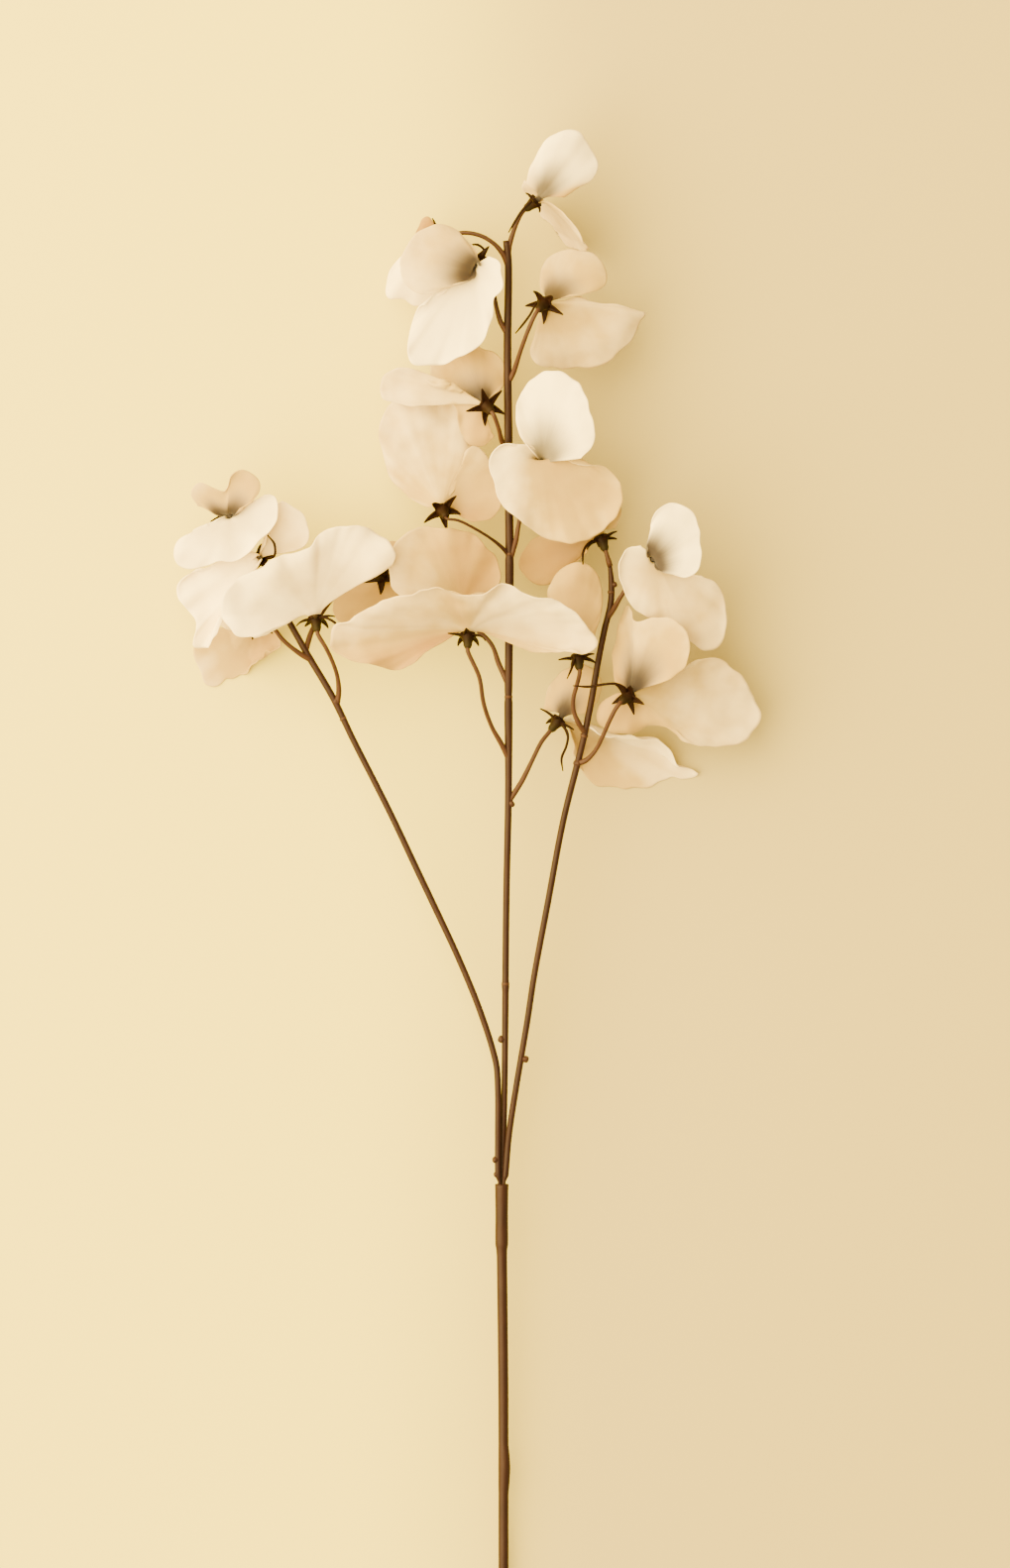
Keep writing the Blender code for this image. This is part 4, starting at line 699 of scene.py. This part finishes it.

# ----------------------------------------------------------------------------
# The blooms. Polyester cloth pressed to shape: a two-lobed standard petal and a pair of cupped wing
# petals, airbrushed grey at the throat, with painted peach shade, glued in the calyx by their
# claws.

# Each petal: its bow, and its rim from one side of the throat round to the other.
PETALS = {
    "c1": {
        "standard": ((0.04, 0.03, 0), [
            (8, 762, 40), (9.5, 757.5, 22), (14, 751, 5), (21, 742.5, -6), (30, 732, -6),
            (37.5, 728.5, 8), (39.5, 728.3, 26), (39.5, 729.3, 41), (36.5, 735, 51), (29, 745, 52),
        ]),
        "wings": ((0, 0, 0.22), [
            (9, 760.5, 47), (10, 768, 51), (16, 778.5, 55), (22.5, 785, 57), (30, 787.5, 57),
            (37, 785.5, 55), (40.5, 780.5, 52), (44, 775, 50), (45, 769.5, 48), (42, 763.5, 46.5),
            (36.5, 758.5, 46), (29, 754.5, 45.5),
        ]),
    },
    "c2": {
        "standard": ((0, 0, 0.04), [
            (-10.5, 723, 60), (-5.5, 721, 62), (-2.5, 714.5, 62), (-3, 707, 61), (-7, 700, 58),
            (-10, 687.5, 55.5), (-13.5, 679.5, 54), (-21.5, 674.5, 53), (-31.5, 670, 52),
            (-43, 668.5, 51), (-50, 672, 51), (-51, 680, 52.5), (-48, 691, 54), (-43.5, 701, 56),
            (-33, 704.5, 57),
        ]),
        "wings": ((0, 0, 0.2), [
            (-24.5, 709, 60), (-34, 705.5, 62), (-45, 704.8, 62), (-51.5, 709, 62),
            (-54.5, 717, 63), (-52.5, 727, 64), (-47, 734, 65), (-40, 738.5, 65), (-32, 739, 64),
            (-25, 736, 63.5), (-19.5, 730.5, 62), (-15.5, 724.5, 61),
        ]),
    },
    "c3": {
        "standard": ((0, 0, 0.06), [
            (36, 702.3, 43), (46, 701, 42), (56, 699, 40), (65, 698, 38), (69.6, 695.6, 37),
            (66.5, 688, 35), (61.5, 680.5, 33), (52.5, 674, 31), (43.5, 669.5, 30),
            (32.5, 667.5, 30), (21.5, 667.5, 32), (14.5, 671, 35), (12.5, 680, 38.5),
            (14, 689, 42.5),
        ]),
        "wings": ((0, 0, 0.12), [
            (17, 706.5, 47.5), (16, 712.5, 45.5), (17.5, 720, 44), (23, 725.5, 43),
            (31, 726.5, 42.5), (39.5, 725.5, 42), (46, 722, 42), (49.5, 716, 42), (49, 709.5, 43),
            (42.5, 705.5, 45), (33, 704.3, 47),
        ]),
    },
    "c4": {
        "standard": ((0, 0, 0.04), [
            (-49, 728, 28), (-55, 724.5, 25), (-59.5, 718, 22), (-62, 710, 20), (-60, 704.3, 19),
            (-54, 703, 18), (-46, 700, 16), (-37, 699, 15), (-29, 703, 17), (-25, 712, 20),
            (-26, 721, 24),
        ]),
        "wings": ((0, 0, 0.1), [
            (-37.5, 741, 36), (-40.5, 744, 36), (-44.5, 742.5, 35), (-47, 735, 31.5),
            (-48.5, 726.5, 31), (-46, 719.5, 30), (-40, 717, 29),
        ]),
    },
    "c5": {
        "standard": ((0, 0, 0.02), [
            (-25.5, 656.5, 50), (-34, 661, 50), (-43, 665.5, 50), (-53, 667.5, 49),
            (-61.5, 665, 48), (-65, 658.5, 47), (-63, 651.5, 46.5), (-55, 648.5, 46),
            (-43, 649, 46), (-31, 651, 46), (-26, 647, 45), (-24.5, 638.5, 43), (-21.5, 630.5, 42),
            (-16, 627, 41.5), (-11, 628.5, 41.5), (-8.7, 634.5, 42),
        ]),
        "wings": ((0, 0, 0.04), [
            (-5, 655, 43), (-3.2, 660, 38.5), (-3.2, 667, 36.5), (-6.5, 674, 36), (-14, 679, 37),
            (-24, 681, 37), (-33.5, 678, 35.5), (-40, 671.5, 35), (-40, 664.5, 35.5),
            (-33, 659, 38),
        ]),
    },
    "c6": {
        "standard": ((0, 0, 0), [
            (-43, 598, 40.5), (-51, 602.5, 37.5), (-57.5, 608.5, 35.5), (-61.5, 616.5, 34),
            (-63.5, 627, 34), (-64, 638, 34), (-61, 647, 34), (-55, 652, 34), (-46, 655, 34),
            (-36.5, 654.5, 34), (-27.5, 652, 34), (-20.5, 645, 34.5), (-17, 634, 35),
            (-18, 621, 36.5),
        ]),
        "wings": ((0, 0, 0.04), [
            (-25, 609, 42), (-23, 618.5, 41), (-20, 627, 39.5), (-15.5, 628.5, 38.5),
            (-10.5, 622.5, 38), (-7, 613, 38), (-4.5, 604, 38.5), (-4.2, 596.5, 39.5),
            (-9.5, 591.5, 41.5), (-19, 590.5, 43),
        ]),
    },
    "c7": {
        "standard": ((0, 0, 0.03), [
            (8.5, 627, 58), (1.5, 630, 59), (-5.5, 628.5, 59), (-10, 621.5, 58), (-8.5, 612, 57),
            (-5.5, 604, 56), (-2, 597, 55), (4, 592.5, 54), (11, 586.5, 53), (20, 581.5, 52),
            (30, 579.8, 51), (40, 581, 51), (49, 586.5, 51), (55.5, 595, 51.5), (57.5, 604, 52.5),
            (54, 611.5, 54), (46, 616.5, 56), (35, 618, 58),
        ]),
        "wings": ((0, 0, 0.16), [
            (9, 627.5, 59), (5.5, 634, 58), (4, 643.5, 57), (6, 654, 56.5), (11.5, 661.5, 57),
            (18.5, 665.5, 58), (26, 665.5, 60), (33.5, 661, 62.5), (38.5, 654, 65), (41, 646, 66.5),
            (43.5, 637.5, 67), (42.5, 628.5, 66.5), (36, 621.5, 64),
        ]),
    },
    "c8": {
        "standard": ((0, 0, 0.04), [
            (-41, 550, 36), (-51.5, 551.5, 38), (-58, 557, 39), (-60.5, 566.5, 40),
            (-58.5, 577, 41), (-52.5, 584, 41), (-44, 588, 41), (-36.5, 587.5, 41),
            (-28.5, 587, 41), (-20.5, 585.5, 40), (-13.5, 580.5, 38.5), (-7.5, 574, 36.5),
            (-4.6, 565.5, 35), (-5, 557, 34), (-10, 552, 33),
        ]),
        "wings": ((0, 0, 0.14), [
            (-30, 553, 28), (-34, 558.5, 29), (-33, 565.5, 30), (-27, 569.5, 31), (-19, 569, 31),
            (-12, 565.5, 30), (-8, 559.5, 28), (-11, 553.5, 26),
        ]),
    },
    "c9": {
        "standard": ((0, 0, -0.02), [
            (-40, 524, 61.5), (-57, 517.5, 61), (-75, 519, 61), (-88, 525, 62), (-89, 533, 66),
            (-80, 540.5, 70), (-70, 547, 73), (-56, 551.5, 77), (-44, 554.5, 80), (-34, 558.5, 82),
            (-25, 554, 80), (-14, 555, 81), (-3, 558.5, 82), (9, 554, 80), (22, 552, 77),
            (33, 545.5, 72), (42, 535, 66), (44.5, 528.5, 64), (38, 523.5, 62), (26, 523.5, 61.5),
            (12, 524.5, 60.5),
        ]),
        "wings": ((0, 0, 0), [
            (-28.5, 542.5, 51), (-35.5, 546, 50), (-36.5, 551.5, 51), (-30, 555, 53),
            (-21, 553, 54), (-12, 555, 53), (-5, 550, 51), (-7, 543.5, 50),
        ]),
    },
    "c10": {
        "standard": ((0, 0, -0.48), [
            (38, 487.8, 24), (46, 484.5, 22), (56, 482.8, 20), (66, 481, 17), (75, 477.5, 13),
            (83, 472.3, 9), (90, 466.8, 5), (96.5, 463.5, 2), (91, 461.3, 0), (80, 461.5, -2),
            (69, 456.5, -4), (58.5, 454.8, -5), (48.5, 457, -4), (42, 461.5, -2), (38, 467.5, 4),
            (35.5, 475.5, 12),
        ]),
        "wings": ((0, 0, 0.04), [
            (17.5, 496, 24.5), (18.5, 504, 23), (23, 511.5, 22), (29.5, 517.5, 22),
            (36.5, 519.5, 22), (43, 516, 22), (46.5, 509, 22), (45, 501, 23), (41, 494, 24),
        ]),
    },
    "r1": {
        "standard": ((0, 0, 0.04), [
            (54, 587.5, 35), (57, 594.5, 35), (56, 603.5, 35), (50.5, 611, 35), (42, 616, 35),
            (32, 615.5, 34), (24.5, 610, 33), (21.5, 601, 32.5), (24, 593.5, 32.5), (32, 588.5, 33),
        ]),
        "wings": ((0, 0, -0.02), [
            (32, 585.5, 31), (23.5, 584, 28), (13.5, 581.5, 26), (7.5, 576, 25), (5.5, 568.5, 24),
            (9.5, 562, 24), (17, 558.5, 25), (25, 561, 26), (33, 568, 28), (39, 575, 31.5),
        ]),
    },
    "r2": {
        "standard": ((0, 0, 0.03), [
            (67, 578.5, 58), (60.5, 577.5, 56), (56.2, 572.5, 54), (55.5, 563.5, 52.5),
            (58.5, 553.5, 51.5), (63.5, 547.5, 50.5), (71, 542, 49), (80, 538, 47.5), (89, 531, 46),
            (97, 525.5, 45), (104, 525.5, 44), (109, 532, 44.5), (110, 541, 46), (109, 550, 48),
            (105, 558, 51), (97, 564, 55),
        ]),
        "wings": ((0, 0, 0.17), [
            (71.5, 581.5, 62), (72.5, 590, 64.5), (76, 597, 66), (82, 599.5, 67), (88.5, 597.5, 67),
            (94, 592.5, 67), (97, 586.5, 66), (96.5, 580.5, 65), (97.5, 574, 64.5),
            (95.5, 566.5, 63.5), (90, 562, 62.5), (84, 562.8, 61.5),
        ]),
    },
    "r3": {
        "standard": ((0, 0, 0), [
            (51.5, 502.5, 38), (46, 499.5, 35.5), (44.5, 493.5, 34), (46, 487, 33),
            (52, 483.3, 32.5), (60, 482, 32), (68.5, 483.5, 32), (75.5, 487, 33), (84, 484.5, 32),
            (92, 478.5, 30), (101, 476.3, 28), (111, 477.5, 26), (119.5, 481, 25), (126, 487.5, 24),
            (127, 495, 24), (123.5, 504, 26), (118.5, 511.5, 29), (111, 518, 33), (102, 521.8, 37),
            (92.5, 519, 41),
        ]),
        "wings": ((0, 0, 0.1), [
            (54, 509.5, 41), (52, 518, 35.5), (52.5, 529, 32), (55, 540, 31), (59, 547.5, 33),
            (63, 546, 41), (65.5, 540.5, 51), (72, 541.8, 58), (80, 541.8, 60), (87.5, 536.5, 60),
            (91, 527.5, 59), (89.5, 518, 57), (83.5, 511.5, 55),
        ]),
    },
    "r4": {
        "standard": ((0, 0, 0.08), [
            (25, 533, 42), (21, 543.5, 41.5), (20, 553.5, 41.5), (23, 563.5, 41.5), (29.5, 569, 42),
            (37.5, 569.5, 42), (44.5, 564.5, 41.5), (48.5, 556, 41.5), (48.5, 547, 41.5),
            (46, 538, 42), (42.5, 530, 43),
        ]),
        "wings": ((0, 0, -0.06), [
            (27, 528.5, 39), (20.5, 530, 36), (15.5, 535.5, 33.5), (14, 543, 32), (18, 550, 32),
            (25, 552, 33.5), (31.5, 548, 36), (35, 540, 39),
        ]),
    },
    "l1": {
        "standard": ((0, 0, 0.03), [
            (-112, 539.5, 50), (-122.5, 535.3, 54), (-132, 532, 57), (-140, 536, 58),
            (-144.5, 545, 59), (-142.5, 555, 60), (-135, 561, 60), (-127, 565, 60), (-119, 571, 59),
            (-109, 574, 57), (-100, 578.5, 55), (-94, 585, 54), (-86.5, 587.5, 53),
            (-77.5, 588, 52), (-68, 585.5, 50), (-60.5, 580.5, 49), (-57, 573.5, 48),
            (-60.5, 568.5, 47), (-68.5, 568.5, 46.5), (-77, 567.5, 46), (-85.5, 562, 46.5),
        ]),
        "wings": ((0, 0, -0.04), [
            (-104, 549.5, 41), (-110, 556.5, 38), (-109, 565, 37), (-101, 569, 38),
            (-93, 568.5, 39), (-87.5, 561.5, 40), (-89.5, 553, 42),
        ]),
    },
    "l2": {
        "standard": ((0, 0, -0.7), [
            (-117, 533, 24), (-112.5, 529.5, 20), (-113, 523.5, 15), (-119, 519, 10),
            (-126, 515.5, 4), (-133, 510.5, -1), (-142, 507.5, -4), (-151, 508.5, -5),
            (-156.5, 515, -5), (-156, 525, -3), (-153, 534, 3),
        ]),
        "wings": ((0, 0, 0.04), [
            (-131, 549.5, 25), (-138, 553, 21), (-145.5, 550.5, 18), (-148.5, 543.5, 17),
            (-144, 537, 18), (-137, 534.5, 20),
        ]),
    },
    "l3": {
        "standard": ((0, 0, 0.02), [
            (-130, 600, 54), (-123, 603.5, 55), (-117.5, 602, 55), (-117, 593.5, 54),
            (-120, 585.5, 53), (-125.5, 580.5, 52), (-130, 574.5, 51), (-136, 570.8, 50.5),
            (-145, 570.3, 50.5), (-154, 568, 50.5), (-162.5, 566.5, 50), (-168, 573, 49.5),
            (-166, 580.5, 49.5), (-158.5, 585, 50), (-151, 588, 51),
        ]),
        "wings": ((0, 0, 0.08), [
            (-134, 598, 57), (-129, 600.8, 58.5), (-125, 606.5, 60), (-127.5, 613.5, 61),
            (-134, 616.5, 61), (-140, 613, 60), (-143, 605, 58), (-149, 607, 58.5),
            (-156, 609, 58.5), (-160, 604, 57.5), (-156, 598, 56.5),
        ]),
    },
    "l4": {
        "standard": ((0, 0, 0.02), [
            (-133, 567.5, 43.5), (-142, 566.5, 42), (-152, 565.5, 40.5), (-161.5, 564.3, 39),
            (-166.8, 558.5, 38), (-166, 552, 38), (-161.5, 546, 37), (-158, 539, 36),
            (-159, 528, 34), (-155.5, 527, 34), (-150.5, 536.5, 37), (-145, 545, 39.5),
            (-137.5, 552, 41.5), (-131, 559, 43),
        ]),
        "wings": ((0, 0, 0.02), [
            (-122.5, 579.5, 45), (-121, 588, 44.5), (-118.5, 596.5, 44), (-114, 600.5, 44),
            (-108, 597.5, 44), (-102.5, 592.5, 44), (-100, 585.5, 44), (-102, 579, 44),
            (-107.5, 575.5, 44.5),
        ]),
    },
    "l5": {
        "standard": ((0, 0, 0), [
            (-74, 569, 20), (-82.5, 563, 17), (-88, 554.5, 15), (-90, 546, 14), (-86.5, 539.5, 13),
            (-78, 538.5, 12.5), (-69.5, 541, 12.5), (-61.5, 545, 13), (-55.5, 549.5, 14.5),
            (-53, 556, 17),
        ]),
        "wings": ((0, 0, 0), [
            (-54.5, 562, 20), (-49.5, 568, 17), (-48.5, 575, 15), (-53.5, 580, 15),
            (-61, 580.5, 16), (-67.5, 575.5, 18.5),
        ]),
    },
}

# The cloth's thickness, the height of the lowest petals above the table, and how finely a petal is
# divided: along its rim, by the number of stops, and from its claw to its rim.
CLOTH = 0.45
LOWEST = 0.42
COLUMNS_A_STOP = 6.5
FEWEST_COLUMNS = 56
MOST_COLUMNS = 120
ROWS = 28
ROW_START = 0.03
ROW_EASE = 0.55

# A rib starts this deep in the calyx and this near to its axis, rises as a claw, and passes its
# belly at this share of the way to the rim.
CLAW_DEPTH = 1.2
THROAT_RADIUS = {"standard": 1.9, "wings": 1.1}
THROAT_EASE = 4.0
CLAW_LENGTH = 7.0
BELLY = 0.6

# The claws that lean over the throat as a hood, and by how much. A hood also rises and widens.
HOODS = {
    ("c7", "standard"): 13.0, ("c2", "wings"): 9.0, ("r2", "wings"): 9.0, ("l3", "wings"): 5.0,
    ("l4", "standard"): 8.0,
}
HOOD_RISE = 0.6
HOOD_SPREAD = 0.35

# How uneven the heat-set cloth is: the height of each kind, and how often it comes in a millimetre.
SWELL = (3.2, 0.045)
SMALL_SWELL = (0.9, 0.11)
FOLD = (2.4, 0.05)
WAVE = (2.4, 0.075)
SMALL_WAVE = (0.7, 0.19)
LIP = (3.0, 0.045)
LIP_START = 0.72
CREASE = (1.0, 0.11)
# Painted shade in the folds: the peach changes with the height of each crease.
CREASE_SHADE = 0.3
NICK = (1.5, 0.13)

# The rolled petal in the throat, given deep painted shade. Its own map ends where the grey of the
# throat does.
KEEL_SIZE = (1.5, 1.5, 2.2)
KEEL_LIFT = 0.6
KEEL_SHADE = 0.9
KEEL_MAP = 0.15

# The two ends of each colour of the cloth, with peach and then amber used as painted shade, the
# light that shines through it, and how fine its veins, its clouds of shade and its weave are.
IVORY = (0.96, 0.83, 0.47, 1.0), (0.98, 0.89, 0.62, 1.0)
PEACH = (0.39, 0.268, 0.064, 1.0), (0.54, 0.395, 0.120, 1.0)
DEEP_SHADE_AMBER = (0.31, 0.172, 0.031, 1.0)
THROAT_GREY = (0.030, 0.024, 0.024, 1.0), (0.165, 0.144, 0.150, 1.0)
GLOW = (1.0, 0.80, 0.56, 1.0)
GLOW_SHARE = 0.16
VEIN_SCALE = (40.0, 1.4, 1.0)
DRIFT = 24.0
CLOUDS = 80.0
WEAVE = 2400.0


def smooth_rim(stops, columns):
    """Evenly spaced points on a smooth curve through the stops, and the curve's length."""
    fine = [spot for spot, _ in smooth_route([(*stop, 0.0) for stop in stops], 0.8)]
    run = [0.0]
    for one, other in zip(fine, fine[1:]):
        run.append(run[-1] + (other - one).length)
    spots = []
    i = 0
    for column in range(columns + 1):
        goal = run[-1] * column / columns
        while i < len(run) - 2 and run[i + 1] < goal:
            i += 1
        share = (goal - run[i]) / (run[i + 1] - run[i])
        spots.append(fine[i].lerp(fine[i + 1], min(max(share, 0.0), 1.0)))
    return spots, run[-1]


def petal_ribs(key, part, rim):
    """The even petal: for each point of the rim, the places of its rib from the calyx outwards."""
    mouth, faces, _ = calyx_frame(key)
    bow, stops = PETALS[key][part]
    seat = mouth - faces * CLAW_DEPTH
    toward = sum((Vector(stop) for stop in stops), Vector()) / len(stops) - mouth
    toward = (toward - faces * toward.dot(faces)).normalized()
    hood = HOODS.get((key, part), 0.0)
    ribs = []
    for end in rim:
        spread = end - mouth
        spread -= faces * spread.dot(faces)
        throat = seat + spread * (THROAT_RADIUS[part] / (spread.length + THROAT_EASE))
        claw = throat + faces * (CLAW_LENGTH + hood * HOOD_RISE) - toward * hood
        if hood:
            claw += (spread - toward * spread.dot(toward)) * HOOD_SPREAD
        belly = throat + (end - throat) * BELLY + Vector(bow) * (end - throat).length
        rib = []
        for j in range(ROWS + 1):
            t = ROW_START + (1 - ROW_START) * (j / ROWS) ** ROW_EASE
            u = 1 - t
            near = throat * u ** 3 + claw * 3 * u * u * t
            far = belly * 3 * u * t * t + end * t ** 3
            rib.append(near + far)
        ribs.append(rib)
    return ribs


def uneven(kind, x, y, z):
    """One kind of unevenness, x millimetres along the rim, with y and z further into its noise."""
    height, pace = kind
    return height * noise.noise(Vector((x * pace, y, z)))


def petal(key, part, ruffle, creases, shade_stops, soot):
    """One petal of cloth: a grid laid over the ribs, made uneven, and given painted shade along its
    rim.
    """
    mouth, faces, _ = calyx_frame(key)
    stops = PETALS[key][part][1]
    columns = max(FEWEST_COLUMNS, min(MOST_COLUMNS, round(len(stops) * COLUMNS_A_STOP)))
    rim, length = smooth_rim(stops, columns)
    ribs = petal_ribs(key, part, rim)
    bpy.ops.mesh.primitive_grid_add(
        x_subdivisions=columns, y_subdivisions=ROWS, size=1.0, calc_uvs=True
    )
    made = bpy.context.object
    seed = noise.cell(mouth) * 40.0 + (0.0 if part == "standard" else 7.0)
    drift = Vector((seed, 0.0, 0.0))
    warmth = []
    for vertex in made.data.vertices:
        i = round((vertex.co.x + 0.5) * columns)
        j = round((vertex.co.y + 0.5) * ROWS)
        out = j / ROWS
        run = i / columns * length
        here = ribs[i][j]
        along = ribs[i][min(j + 1, ROWS)] - ribs[i][max(j - 1, 0)]
        across = ribs[min(i + 1, columns)][j] - ribs[max(i - 1, 0)][j]
        normal = across.cross(along)
        normal = normal.normalized() if normal.length > 1e-9 else faces
        swell = sum(rise * noise.noise(here * pace + drift) for rise, pace in (SWELL, SMALL_SWELL))
        fold = uneven(FOLD, run, out * 0.7, seed) * out ** 2 * (1.6 - out)
        wave = uneven(WAVE, run, seed, 0.0) + uneven(SMALL_WAVE, run, seed, 3.0)
        lip = uneven(LIP, run, seed, 9.0) * max(0.0, (out - LIP_START) / (1 - LIP_START)) ** 2
        crease = creases * uneven(CREASE, run, out * 1.1, seed + 11.0) * out ** 1.5
        nick = uneven(NICK, run, seed, 5.0) * out ** 4
        push = swell * math.sin(out * math.pi / 2) ** 2 + fold + wave * out ** 3 + lip
        spot = here + normal * (ruffle * push + crease) + along.normalized() * nick
        spot.z = max(spot.z, LOWEST)
        vertex.co = place(*spot)
        # Painted shade: peach interpolated along the rim from the flower's stops, changed by the
        # creases.
        step = i / columns * (len(shade_stops) - 1)
        low = min(int(step), len(shade_stops) - 2)
        painted_shade = shade_stops[low] + (shade_stops[low + 1] - shade_stops[low]) * (step - low)
        warmth.append(painted_shade - CREASE_SHADE * crease)
    paint(made, "painted_shade", warmth)
    paint(made, "soot", soot)
    return thicken(made, CLOTH * MM)


def keel(key):
    """The small rolled petal that closes the throat, grey all over."""
    mouth, faces, _ = calyx_frame(key)
    bpy.ops.mesh.primitive_uv_sphere_add(segments=20, ring_count=12, radius=1.0, calc_uvs=True)
    made = bpy.context.object
    grip = faces.to_track_quat("Z", "Y")
    for vertex in made.data.vertices:
        vertex.co = place(*(mouth + faces * KEEL_LIFT + grip @ (vertex.co * Vector(KEEL_SIZE))))
    for corner in made.data.uv_layers.active.data:
        corner.uv.y *= KEEL_MAP
    paint(made, "painted_shade", KEEL_SHADE)
    paint(made, "soot", 1.0)
    made.select_set(False)
    return made


def petal_cloth():
    """Ivory polyester satin, with faint pressed veins, a grey throat and painted peach shade."""
    finish, tree, shader, spot = new_finish("petal_cloth")
    grid = node(tree, "ShaderNodeUVMap", {}, "UV")
    painted_shade = node(tree, "ShaderNodeAttribute", {}, "Fac", attribute_name="painted_shade")
    soot = node(tree, "ShaderNodeAttribute", {}, "Fac", attribute_name="soot")
    along = node(tree, "ShaderNodeSeparateXYZ", {0: grid}, "Y")
    veins = grid.stretched(VEIN_SCALE).speckle(1.0, 3.0, 0.6)
    drift = spot.speckle(DRIFT)
    clouds = spot.speckle(CLOUDS)
    weave = spot.speckle(WEAVE)
    # Painted shade: the stored values, plus more towards the throat and random clouds and veins;
    # past 1 the peach deepens to amber.
    warm = painted_shade * 1.2 + (drift - 0.5) * 0.6 + (clouds - 0.5) * 0.6 + (veins - 0.5) * 0.10
    warm = warm + (0.45 - along) * 0.35
    cloth = (warm - 1.0).mixed(warm.mixed(drift.mixed(*IVORY), drift.mixed(*PEACH)), DEEP_SHADE_AMBER)
    reach = along + (veins - 0.5) * 0.08 + (drift - 0.5) * 0.20
    throat = (1.0 - reach.between(0.10, 0.62)) * soot
    grey = reach.between(0.10, 0.50).mixed(*THROAT_GREY)
    fill(shader, {
        "Base Color": throat.mixed(cloth, grey),
        "Roughness": 0.75,
        "Specular IOR Level": 0.2,
        "Sheen Weight": 0.12,
        "Sheen Roughness": 0.5,
        "Normal": (veins * along * 0.35 + weave * 0.12 + clouds * 0.5).relief(0.25, 0.0006),
    })
    glow = node(tree, "ShaderNodeBsdfTranslucent", {"Color": GLOW})
    sockets = {0: GLOW_SHARE, 1: Wire(tree, shader.outputs[0]), 2: glow}
    fill(tree.nodes["Material Output"], {"Surface": node(tree, "ShaderNodeMixShader", sockets)})
    return finish


# How much the standards are waved and creased, where they are more so than the rest.
RUFFLES = {
    "c5": (1.2, 0.0), "c6": (1.4, 1.3), "c8": (1.0, 0.2), "c9": (1.5, 0.2), "c10": (1.4, 0.8),
    "l1": (1.5, 0.2), "l2": (1.9, 1.4), "l4": (1.6, 0.9), "r1": (1.5, 1.0), "r3": (1.3, 0.3),
}
USUAL_RUFFLE = (1.1, 0.0)
WINGS_RUFFLE = (0.7, 0.0)

# For the standard and then for the wings of each flower: how much painted peach shade they carry,
# from the first to the last stop of the rim, and how sooty their throats are.
SHADES = {
    "c1": ((0.6, 0.7), 0.2, (0.6, 0.05, 0.0, 0.05, 1.4), 0.9),
    "c2": ((0.15, 0.0, 0.0, 0.05), 0.1, (0.7, 0.65, 0.75, 0.8), 1.0),
    "c3": ((0.65, 0.65, 0.85), 0.1, (0.85, 0.8, 0.9), 0.9),
    "c4": ((0.2, 0.0, 0.05, 0.4), 0.1, (1.7, 1.5, 0.8, 0.7), 0.6),
    "c5": ((0.9, 0.6, 0.6, 1.1, 1.4), 0.1, (1.0, 1.0, 0.9, 0.7), 1.0),
    "c6": ((0.85, 0.85, 0.65, 0.7, 0.75), 0.0, (0.9, 0.9, 1.1, 1.5), 0.3),
    "c7": ((0.5, 0.35, 0.8, 1.0, 1.0, 0.9), 0.1, (0.5, 0.1, 0.0, 0.0, 0.1), 0.85),
    "c8": ((0.9, 0.6, 0.8, 1.3, 1.5, 1.3), 0.1, (1.0, 1.0, 1.2), 0.2),
    "c9": ((1.6, 1.5, 0.7, 0.6, 1.0, 0.5, 0.35, 0.6, 1.0), 0.2, (0.9, 0.9), 0.5),
    "c10": ((0.1, 0.15, 0.5, 1.0, 0.9), 0.3, (1.0, 0.95, 1.0), 1.0),
    "r1": ((1.0, 1.1, 1.2), 0.2, (1.3, 1.5, 1.4), 0.4),
    "r2": ((0.45, 0.55, 0.6, 0.6, 0.6, 0.5), 0.2, (0.3, 0.0, 0.0, 0.0, 0.1), 1.0),
    "r3": ((1.3, 1.25, 1.0, 0.7, 0.6, 0.7, 0.8), 0.2, (1.3, 1.05, 0.8, 0.8, 0.9, 1.0), 1.0),
    "r4": ((0.9, 1.1, 1.0), 0.2, (1.3, 1.4), 0.5),
    "l1": ((0.45, 0.2, 0.15, 0.4, 0.3, 0.25, 0.4, 0.5), 0.2, (0.9, 0.9), 0.5),
    "l2": ((1.35, 1.3, 1.1, 0.9, 0.8), 0.2, (0.5, 0.5), 0.4),
    "l3": ((0.2, 0.05, 0.2, 0.15, 0.2), 0.1, (1.1, 1.0, 0.9, 0.9), 1.0),
    "l4": ((0.3, 0.05, 0.0, 0.1, 0.3), 0.1, (0.5, 0.45, 0.5, 0.6), 0.3),
    "l5": ((1.15, 1.25), 0.1, (1.2, 1.2), 0.4),
}

petal_finish = petal_cloth()
for key in PETALS:
    standard_shading, standard_soot, wings_shading, wings_soot = SHADES[key]
    bloom = joined("pressed_bloom_" + key, [
        petal(key, "standard", *RUFFLES.get(key, USUAL_RUFFLE), standard_shading, standard_soot),
        petal(key, "wings", *WINGS_RUFFLE, wings_shading, wings_soot),
        keel(key),
    ])
    bloom.data.materials.append(petal_finish)
    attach(bloom, "root")
    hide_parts("bloom_" + key)
